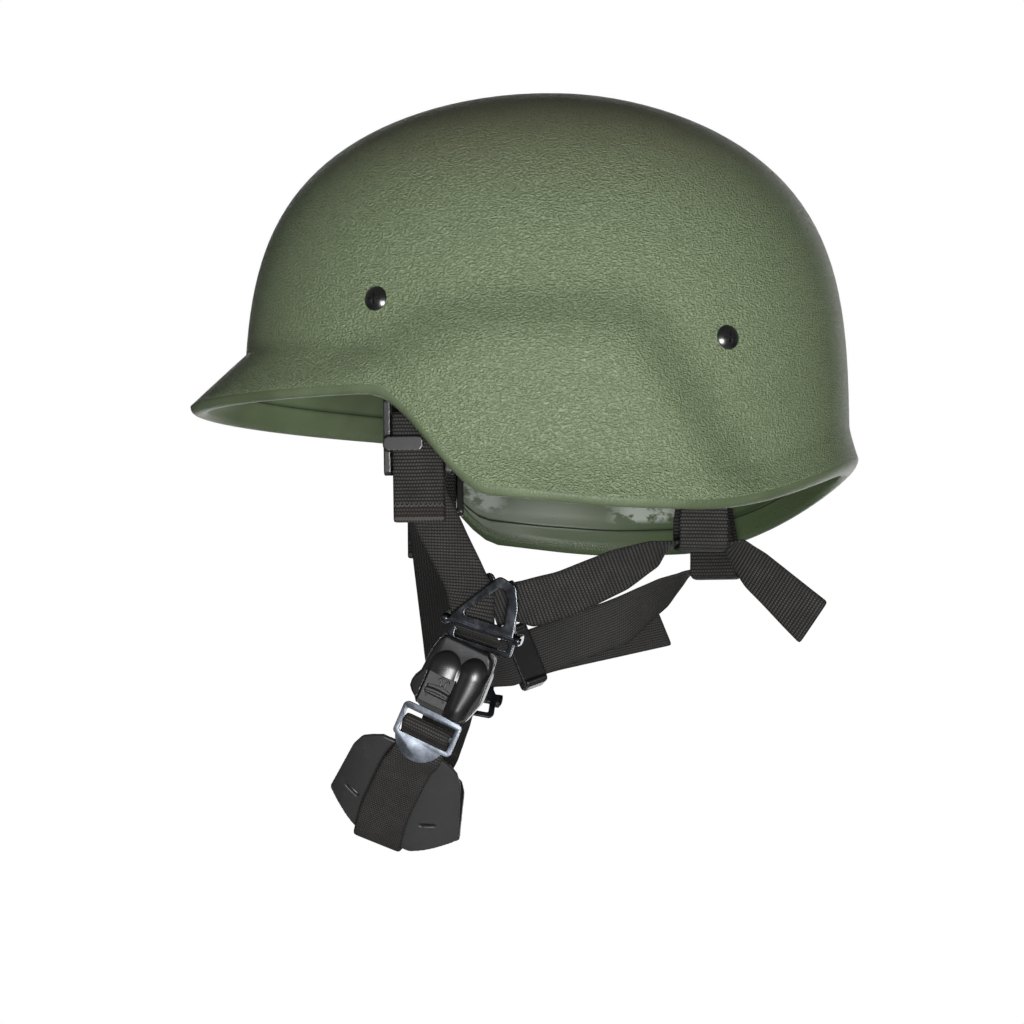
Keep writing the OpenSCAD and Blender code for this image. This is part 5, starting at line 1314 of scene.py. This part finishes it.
@dataclass
class CrownLace:
    """The braided lace that closes the crown straps' hems, tied at the back, in millimetres."""

    ring: float = 26.0
    radius: float = 1.25
    height: float = 152.0
    knot: float = 2.6
    end: float = 16.0
    end_deg: float = 28.0
    shift: float = -2.3
    steps: int = 96
    sides: int = 12

    def build(self) -> Object:
        """Makes the ring, the knot and its two ends."""

        def ring_place(along: float, round_share: float) -> Vector:
            """The point at these shares along the lace and round it."""
            a, b = 2 * math.pi * along, 2 * math.pi * round_share
            r = self.ring + self.radius * math.cos(b)
            z = self.height + self.radius * math.sin(b)
            return Vector((r * math.sin(a), self.shift - r * math.cos(a), z)) * MM

        def cloth(share: Vector) -> Pair:
            """The place round and along the lace at these shares, in metres."""
            return share.y * 2 * math.pi * self.radius * MM, share.x * length * MM

        length = 2 * math.pi * self.ring
        form = sheet_form(self.steps, self.sides, ring_place)
        lay_cloth(form, cloth)
        weld(form)
        tie = Vector((0, self.shift + self.ring, self.height))
        for tilt in (-0.5, 0.0, 0.5):
            turn = Matrix.Rotation(tilt, 4, "Y") @ Matrix.Diagonal((1.0, 0.8, 0.62, 1.0))
            bmesh.ops.create_uvsphere(
                form, u_segments=20, v_segments=12, radius=self.knot * MM,
                matrix=Matrix.Translation(tie * MM) @ turn,
            )
        for side in (-1, 1):
            turn = Matrix.Rotation(math.radians(side * self.end_deg), 4, "Z")
            turn = turn @ Matrix.Rotation(math.radians(90), 4, "X")
            middle = Matrix.Translation(Vector((0, 0, self.end / 2 * MM)))
            bmesh.ops.create_cone(
                form, cap_ends=True, segments=16,
                radius1=self.radius * MM, radius2=self.radius * 0.92 * MM, depth=self.end * MM,
                matrix=Matrix.Translation(tie * MM) @ turn @ middle,
            )
        bmesh.ops.recalc_face_normals(form, faces=form.faces)
        return hand_over(put("crown_lace_braid", form, [BRAID]), "helmet", Slot.LACE, "crown_lace")


# ---------------------------------------------------------------- the chin piece


@dataclass
class ChinCup:
    """The folded rubber cup: a sheet with a flap at each side of the strap, slotted and curled.

    Sizes are in millimetres. Each slot is a distance from the fold, an offset and degrees.
    """

    drop: float = 131.0
    front: float = 75.0
    half_w: float = 28.5
    fold_half_w: float = 12.0
    thick: float = 2.0
    fold_round: float = 6.0
    curl: float = 6.0
    reach: float = 64.0
    inset: float = 2.3
    top: Spot = (46.01, -60.25, -90.04)
    across: Spot = (0, 0.927, -0.375)
    slots: tuple[Spot, ...] = ((24.9, -19, 42), (23, 15.2, -104))
    slot_size: Spot = (9.0, 1.8, 7.0)
    columns: int = 28
    rows: int = 84
    voxel: float = 0.45
    soften: int = 3

    def frame(self) -> tuple[Vector, Vector, Vector]:
        """The fold's middle, the direction up its near side and the direction across."""
        _, along, down = self.across
        fold = Vector((0, 1 - self.front - self.inset * down, 1 - self.drop + self.inset * along))
        return fold, (Vector(self.top) - fold).normalized(), Vector(self.across).normalized()

    def half(self, q: float) -> float:
        """Half the width at a distance from the fold."""
        table = (
            (0, self.fold_half_w - 1), (3, self.fold_half_w + 0.5), (17, self.half_w),
            (50, self.half_w - 5), (57, self.half_w - 7.5), (61, 17), (64, 12.5),
        )
        return between(table, q)

    def point(self, s: float, t: float, side: float = 0.0) -> Vector:
        """Point of the sheet at a distance s from the fold and a share t of the width there."""
        fold, up, across = self.frame()
        r = math.sqrt(s * s + self.fold_round**2)
        k = s / r
        n = across.cross(Vector((up.x, up.y * k, up.z * k))).normalized()
        w = self.half(abs(s))
        lift = self.curl * (max(abs(t) * w - 9, 0) / 20) ** 2
        base = fold + Vector((up.x * s, up.y * (r - self.fold_round), up.z * (r - self.fold_round)))
        return base + across * t * w - n * lift + n * side * self.thick / 2

    def build(self) -> Object:
        """Makes the sheet, gives it its thickness and cuts its slots."""

        def place(across: float, along: float) -> Vector:
            """The point at these shares across and along."""
            s = (2 * along - 1) * self.reach
            return self.point(s, 2 * across - 1) * MM

        obj = put("chin_cup_moulded", sheet_form(self.columns, self.rows, place), [CUP_RUBBER])
        thickened(obj, self.thick)
        cutters = bmesh.new()
        for flip in (1.0, -1.0):
            for q, offset, tilt in self.slots:
                t = offset / self.half(q)
                spot, out = self.point(q, t), self.point(q, t, 1.0)
                n = (out - spot).normalized()
                turns = Euler((math.radians(tilt), -math.asin(n.z), math.atan2(n.y, n.x)), "XYZ")
                size = Matrix.Diagonal((*self.slot_size, 1.0))
                local = Matrix.Translation(spot) @ turns.to_matrix().to_4x4() @ size
                mirror = Matrix.Diagonal((flip, 1.0, 1.0, 1.0))
                bmesh.ops.create_cube(cutters, size=1.0, matrix=Matrix.Scale(MM, 4) @ mirror @ local)
        bmesh.ops.recalc_face_normals(cutters, faces=cutters.faces)
        knife = put("cup_slot_knife", cutters, [CUP_RUBBER])
        modifier(obj, "BOOLEAN", operation="DIFFERENCE", object=knife, solver="EXACT")
        modifier(obj, "REMESH", mode="VOXEL", voxel_size=self.voxel * MM, use_smooth_shade=True)
        modifier(obj, "SMOOTH", factor=0.5, iterations=self.soften)
        settled(obj)
        bpy.data.objects.remove(knife)
        return hand_over(obj, None, Slot.RUBBER, "chin_cup")


# -------------------------------------------------------------------- the buckle


@dataclass
class BuckleCover:
    """The buckle's front: a falling shoulder, a hood over the slide's channel and a side lobe.

    Sizes are in the buckle's own millimetres: x out of its face, y across and z up. Left and right
    are its outline's reach at each height.
    """

    top: float = 15.8
    low: float = -16.0
    split: float = 1.45
    channel_y: float = -4.4
    channel: float = 6.25
    floor: float = 0.75
    edge: float = 1.8
    columns: int = 128
    rows: int = 140
    sharp_deg: float = 52.0
    left: tuple[Pair, ...] = (
        (-16, 8.0), (-15, 10.6), (-13.2, 12.0), (-11.6, 14.2), (-9.8, 15.7), (-7.4, 15.9),
        (-5, 15.4), (-2, 13.9), (4, 13.5), (10, 12.9), (12.6, 12.2), (14.4, 11), (15.8, 8.6),
    )
    right: tuple[Pair, ...] = (
        (-16, 7.4), (-15.2, 9.4), (-13, 10.6), (-8, 11.2), (-2, 12.4), (3, 13.2), (8, 13.3), (11, 12.8),
        (13.4, 11.6), (15.8, 8.6),
    )

    def half(self, z: float, right: bool) -> float:
        """Reach of the outline to one side at a height."""
        return between(self.right if right else self.left, z)

    def back(self, z: float) -> float:
        """Where the cover's back lies at a height."""
        return self.split * (1 - ease(8.6, 9.8, z))

    def height(self, y: float, z: float) -> float:
        """Where the front lies at a place on it."""

        def cap(u: float, v: float) -> float:
            """A dome's height over its middle, 1 there and 0 outside."""
            return math.sqrt(max(1 - u * u - v * v, 0.0))

        def joined(a: float, b: float, k: float = 0.7) -> float:
            """The greater of two, rounded over k."""
            h = max(k - abs(a - b), 0.0) / k
            return max(a, b) + h * h * k / 4

        if abs(y - self.channel_y) < self.channel and z < 0.0:
            return self.split + self.floor
        level = 5.3 - 2.8 * ease(4.0, 16.0, z) - 1.2 * ease(-9, -15, y)
        round_hood = cap((y + 4.6) / 7.1, 0.0)
        arch = 1.0 + 9.2 * round_hood
        hood = level + 3.3 * round_hood * max((arch - max(z, 0.0)) / arch, 0.0) ** 0.5
        down = ease(0, -15, z)
        wide = 6.3 - 1.9 * down
        ends = max(z - 3.5, 0) / 8.5 + max(-z - 10.0, 0) / 8.0
        lobe = 1.9 + 6.2 * cap((y - 6.9 + 0.5 * down) / wide, ends)
        tall = joined(hood if z > -0.4 else level, lobe, 3.4)
        inside = min(self.half(z, y > 0) - abs(y), self.top - z, z - self.low)
        drop = min(max(inside / self.edge, 0.0), 1.0)
        low = self.back(z)
        return low + (tall - low) * (0.3 + 0.7 * math.sqrt(max(1 - (1 - drop) ** 2, 0.0)))

    def build(self) -> Object:
        """Makes the front, closes it to the split and turns it into place."""

        def place(across: float, along: float) -> Vector:
            """The point at these shares across and along, in the buckle's millimetres."""
            z = self.low + (self.top - self.low) * along
            side = 2 * across - 1
            y = side * self.half(z, side > 0)
            return Vector((self.height(y, z), y, z))

        form = sheet_form(self.columns, self.rows, place)
        close_back(form, self.back)
        form.transform(BUCKLE.matrix())
        bmesh.ops.recalc_face_normals(form, faces=form.faces)
        obj = put("buckle_cover_moulded", form, [GLOSS_BLACK])
        modifier(obj, "SMOOTH", factor=0.5, iterations=1)
        settled(obj)
        obj.data.set_sharp_from_angle(angle=math.radians(self.sharp_deg))
        return hand_over(obj, "helmet", Slot.BLACK, "buckle_cover")


@dataclass
class ReleaseSlide:
    """The sliding release: a flat tongue with a raised arrow, a thumb pocket and a ridged ledge.

    Sizes are in the buckle's own millimetres, as in BuckleCover.
    """

    middle: float = -4.4
    half: float = 6.0
    low: float = -13.6
    top: float = 1.7
    face: float = 4.35
    back: float = 2.35
    offset: float = 0.7
    pins: Pair = (-3.2, 4.4)
    pin_z: float = -10.3
    pin_radius: float = 0.45
    columns: int = 96
    rows: int = 124
    sharp_deg: float = 40.0
    arrow: tuple[Pair, ...] = (
        (0, -0.3), (2.2, -2.4), (1.0, -2.4), (1.0, -4.7), (-1.0, -4.7), (-1.0, -2.4), (-2.2, -2.4),
    )

    def outline(self, y: float, z: float) -> float:
        """Distance from the arrow's outline."""
        least = 9.0
        for (y0, z0), (y1, z1) in zip(self.arrow, self.arrow[1:] + self.arrow[:1]):
            dy, dz = y1 - y0, z1 - z0
            t = min(max(((y - y0) * dy + (z - z0) * dz) / (dy * dy + dz * dz), 0.0), 1.0)
            least = min(least, math.hypot(y - y0 - dy * t, z - z0 - dz * t))
        return least

    def height(self, y: float, z: float) -> float:
        """Where the front lies at a place on it."""
        u = y - self.middle - self.offset
        bend = 0.9 * (u / 5.0) ** 2
        inside = ease(5.4, 4.8, abs(u))
        pocket = ease(-4.9 - bend, -5.4 - bend, z) * ease(-9.6, -9.2, z) * inside
        ledge = ease(-6.5 - bend * 0.5, -6.9 - bend * 0.5, z) * ease(-9.2, -8.8, z) * inside
        groove = 0.35 * ease(0.22, 0.05, abs(z + 7.9 + bend * 0.5)) * inside
        raised = 0.7 * ease(0.42, 0.28, self.outline(y - self.middle - 1.7, z))
        edge = min(self.half - abs(y - self.middle), z - self.low)
        return self.face - 1.5 * pocket + 2.7 * ledge - groove + raised - 0.3 * ease(0.35, 0.0, edge)

    def build(self) -> Object:
        """Makes the slide, closes its back and adds the two pins under the ledge."""

        def place(across: float, along: float) -> Vector:
            """The point at these shares across and along, in the buckle's millimetres."""
            y = self.middle + (2 * across - 1) * self.half
            z = self.low + (self.top - self.low) * along
            return Vector((self.height(y, z), y, z))

        form = sheet_form(self.columns, self.rows, place)
        close_back(form, lambda z: self.back)
        for y in self.pins:
            spot = Matrix.Translation(Vector((self.face, self.middle + y, self.pin_z)))
            bmesh.ops.create_uvsphere(
                form, u_segments=12, v_segments=8, radius=self.pin_radius, matrix=spot
            )
        form.transform(BUCKLE.matrix())
        bmesh.ops.recalc_face_normals(form, faces=form.faces)
        obj = put("release_slide_moulded", form, [SLIDE_BLACK])
        obj.data.set_sharp_from_angle(angle=math.radians(self.sharp_deg))
        return hand_over(obj, "release", Slot.SLIDE, "release_slide")


# ----------------------------------------------------------------------- harness


@dataclass
class Harness:
    """Every strap, ring, adjuster and buckle piece of the chinstrap."""

    helmet: str = "helmet"
    tail_fold: float = 10.4
    bend_end: int = 5

    def straps(self) -> list[Strap]:
        """The lengths of webbing."""

        def strap(node: str, route: str, body: str, finish: Finish = WEAVE, **settings) -> Strap:
            """A strap that is named after its node."""
            return Strap(node + "_woven", route, body, node, finish, **settings)

        made = [
            strap("nape_strap_left", "NAPE_LEFT", self.helmet, cupping=0.35),
            strap("nape_strap_right", "NAPE_RIGHT", self.helmet, FAR_SEWN, mirrored=True),
            strap("rear_loop_left", "REAR_LOOP_LEFT", self.helmet, closed=True),
            strap(
                "rear_loop_right", "REAR_LOOP_RIGHT", self.helmet, SHADED_WEAVE, mirrored=True, closed=True
            ),
        ]
        for side, mirrored in SIDES:
            made.append(
                strap(
                    f"front_hanger_{side}", "HANGER", self.helmet, SHADED_WEAVE,
                    mirrored=mirrored, closed=True,
                )
            )
            made.append(
                strap(
                    f"front_tail_{side}", "TAIL", f"adjuster_{side}", ZIGZAG_WEAVE,
                    mirrored=mirrored, from_end=True, folded=self.tail_fold,
                )
            )
        routes = [(end, mirrored) for _, mirrored in SIDES for end in ("FRONT", "SIDE", "REAR")]
        for k, (end, mirrored) in enumerate(routes, 1):
            made.append(
                Strap(
                    f"crown_strap_{k}_woven", "CROWN_" + end, self.helmet, "crown_straps",
                    SHADED_WEAVE, mirrored=mirrored,
                )
            )
        return made

    def bending(self) -> None:
        """Makes the straps that cross a joint."""
        for side, mirrored in SIDES:
            node, route = f"front_strap_{side}", "FRONT_" + side.upper()
            finish = FAR_WEAVE if mirrored else WEAVE
            strap = Strap(node + "_woven", route, None, node, finish, mirrored=mirrored)
            points, _ = stations(route)
            top, low = points[0], points[self.bend_end]
            for point in (top, low):
                point.x *= -1.0 if mirrored else 1.0
            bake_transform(strap.build())
        strap = Strap(
            "chin_strap_woven", "CHIN", None, "chin_strap", CHIN_WEAVE, Slot.CHIN_WEBBING, step=1.8
        )
        for obj in (strap.build(), ChinCup().build()):
            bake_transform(obj)

    def hardware(self) -> None:
        """Makes the rings, adjusters, slider, buckle, slide and tongue."""
        for side, mirrored in SIDES:
            metal = RING_BLACK if mirrored else GUNMETAL
            Casting(f"strap_adjuster_{side}", f"adjuster_{side}", GLOSS_BLACK, Slot.BLACK, soften=3).build()
            Casting(f"ring_frame_{side}", self.helmet, metal, Slot.RING, voxel=0.24).build()
            Casting(f"ring_gate_{side}", f"gate_{side}", metal, Slot.RING, voxel=0.22, soften=5).build()
        Casting("nape_slider", "slider", SATIN_BLACK, Slot.BLACK).build()
        Casting("buckle_base", self.helmet, SATIN_BLACK, Slot.BLACK, voxel=0.28, soften=3).build()
        BuckleCover().build()
        ReleaseSlide().build()
        Pressing("tongue_plate", "chin_piece", TONGUE_STEEL, Slot.TONGUE, edge=0.3, segments=3).build()


@dataclass
class Fittings:
    """Screws, posts, clips and the other small steel and rubber behind the shell."""

    spring_axis: Spot = (0.24381, 0.39634, 0.88514)

    def build(self) -> None:
        """Makes them and dresses the solids that stay."""
        Pressing("shell_screws", "helmet", SCREW_BLACK, Slot.BLACK, edge=0.18).build()
        Pressing("hanger_clips", "helmet", DARK_STEEL, Slot.STEEL, edge=0.2).build()
        Pressing("headband_clips", "helmet", DARK_STEEL, Slot.STEEL, edge=0.15).build()
        Casting("spacers", "helmet", SPACER, Slot.RUBBER, voxel=0.35, soften=2).build()
        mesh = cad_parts["screw_posts"].data
        mesh.materials.clear()
        mesh.materials.append(WARDROBE.get(DARK_STEEL))
        self.spring()

    def spring(self) -> None:
        """Makes the release spring, and measures its length along its axis."""
        obj = put("release_spring_wire", copied("release_spring"), [DARK_STEEL])
        axis = Vector(self.spring_axis)
        ends = sorted((v.co.copy() for v in obj.data.vertices), key=axis.dot)
        long = axis.dot(ends[-1]) - axis.dot(ends[0])
        hand_over(obj, "helmet", Slot.STEEL, "release_spring")
        tuple(ends[-1])
        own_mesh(obj)


@dataclass
class Liner:
    """The suspension band, the sweatband with its foam and closing tab, and the crown lace.

    Each band's reach is in millimetres to the side, to the front and to the rear.
    """

    band: Spot = (89.32, 114.94, 107.44)
    sweatband: Spot = (79.1, 99.6, 99.6)
    foam: Spot = (82.3, 102.8, 102.8)
    tab: Spot = (80.7, 101.2, 101.2)

    def build(self) -> None:
        """Makes the bands and the lace."""
        Hoop(
            "suspension_band_woven", "suspension_band", *self.band, power=2.2, low=70.0, high=92.0,
            thick=1.5, finish=SHADED_WEAVE, slot=Slot.WEBBING,
        ).build()
        Hoop(
            "headband_leather", "headband", *self.sweatband, power=2.1, low=70.0, high=104.0,
            thick=1.6, finish=LEATHER, slot=Slot.LEATHER,
        ).build()
        foam = Hoop(
            "headband_foam_cut", "headband_foam", *self.foam, power=2.1, low=72.0, high=102.0,
            thick=3.0, finish=FOAM, slot=Slot.FOAM, start_deg=200.0, end_deg=520.0,
        ).build()
        Hoop(
            "headband_tab_woven", "headband_tab", *self.tab, power=2.1, low=75.0, high=99.0,
            thick=1.4, finish=SHADED_WEAVE, slot=Slot.WEBBING, start_deg=163.0, end_deg=197.0,
        ).build()
        CrownLace().build()


# ------------------------------------------------------------------ camera, stage


@dataclass
class Studio:
    """The camera at the photograph's angle, plain soft light and a pale stage.

    Lengths are in metres and angles in degrees; each lamp has its place, size and power in watts.
    """

    target: Spot = (0.0, -0.0205, 0.00896)
    distance: float = 2.2
    azimuth: float = 90.786
    elevation: float = -5.3755
    focal_px: float = 5253.6
    frame_px: float = 1024.0
    sensor: float = 36.0
    clip_end: float = 30.0
    floor_z: float = -1.6
    floor_half: float = 8.0
    floor_colour: Colour = (0.8, 0.8, 0.8)
    floor_glow: float = 0.9
    fill: float = 0.012
    gloss: float = 0.14
    lamps: tuple[tuple[str, Spot, float, float], ...] = (
        ("side_soft", (1.7, 0.1, -0.45), 0.7, 55.0),
        ("far_soft", (-1.9, 0.2, 0.15), 1.6, 18.0),
        ("front_soft", (1.0, -1.6, 0.1), 0.8, 1.2),
        ("rear_soft", (0.9, 1.7, -0.2), 0.8, 0.9),
    )

    def camera(self) -> None:
        """Places the camera."""
        az, el = math.radians(self.azimuth), math.radians(self.elevation)
        back = Vector((math.sin(az) * math.cos(el), -math.cos(az) * math.cos(el), math.sin(el)))
        data = bpy.data.cameras.new("photo_camera")
        data.sensor_width = self.sensor
        data.lens = self.focal_px / self.frame_px * self.sensor
        data.clip_end = self.clip_end
        camera = linked("photo_camera", data)
        camera.location = Vector(self.target) + back * self.distance
        camera.rotation_euler = back.to_track_quat("Z", "Y").to_euler()
        bpy.context.scene.camera = camera

    def lamp(self, name: str, spot: Spot, size: float, power: float) -> None:
        """Places one square soft lamp that faces the helmet."""
        data = bpy.data.lights.new(name, "AREA")
        data.size = size
        data.energy = power
        lamp = linked(name, data)
        lamp.location = spot
        away = Vector(spot) - Vector(self.target)
        lamp.rotation_euler = away.to_track_quat("Z", "Y").to_euler()

    def world(self) -> None:
        """Lights the object evenly, and shows white behind it."""
        world = bpy.data.worlds.new("plain_light")
        tree = Tree(world)
        rays = tree.node("LightPath").outputs
        fill, shown, gloss = (
            tree.node("Background", None, {"Color": WHITE, "Strength": strength}).outputs[0]
            for strength in (self.fill, 1.0, self.gloss)
        )
        first = tree.node("MixShader", None, {0: rays["Is Glossy Ray"], 1: fill, 2: gloss})
        second = tree.node("MixShader", None, {0: rays["Is Camera Ray"], 1: first.outputs[0], 2: shown})
        tree.node("OutputWorld", None, {"Surface": second.outputs[0]})
        bpy.context.scene.world = world

    def floor(self) -> None:
        """Lays the pale floor, far below the helmet that is held up."""
        form = bmesh.new()
        down = Matrix.Translation((0, 0, self.floor_z))
        bmesh.ops.create_grid(form, x_segments=1, y_segments=1, size=self.floor_half, matrix=down)
        mesh = bpy.data.meshes.new("floor")
        form.to_mesh(mesh)
        form.free()
        material = bpy.data.materials.new("floor_paint")
        tree = Tree(material)
        shown = tree.value("LightPath", None, {}, "Is Camera Ray") * self.floor_glow
        paint = tree.node("BsdfDiffuse", None, {"Color": self.floor_colour})
        white = tree.node("Emission", None, {"Color": WHITE, "Strength": 1.0})
        mixed = tree.node("MixShader", None, {0: shown, 1: paint.outputs[0], 2: white.outputs[0]})
        tree.node("OutputMaterial", None, {"Surface": mixed.outputs[0]})
        mesh.materials.append(material)
        obj = linked("floor", mesh)

    def build(self) -> None:
        """Sets the camera, the light and the stage."""
        self.camera()
        self.world()
        self.floor()
        for lamp in self.lamps:
            self.lamp(*lamp)
        bpy.context.scene.view_settings.view_transform = "Standard"


def main() -> None:
    """Builds the stage, the shell, the liner and the harness."""
    logging.basicConfig(level=logging.INFO, format="%(name)s: %(message)s")
    Studio().build()
    Shell().build()
    Fittings().build()
    Liner().build()
    harness = Harness()
    for strap in harness.straps():
        strap.build()
    harness.bending()
    harness.hardware()


if __name__ == "__main__":
    main()
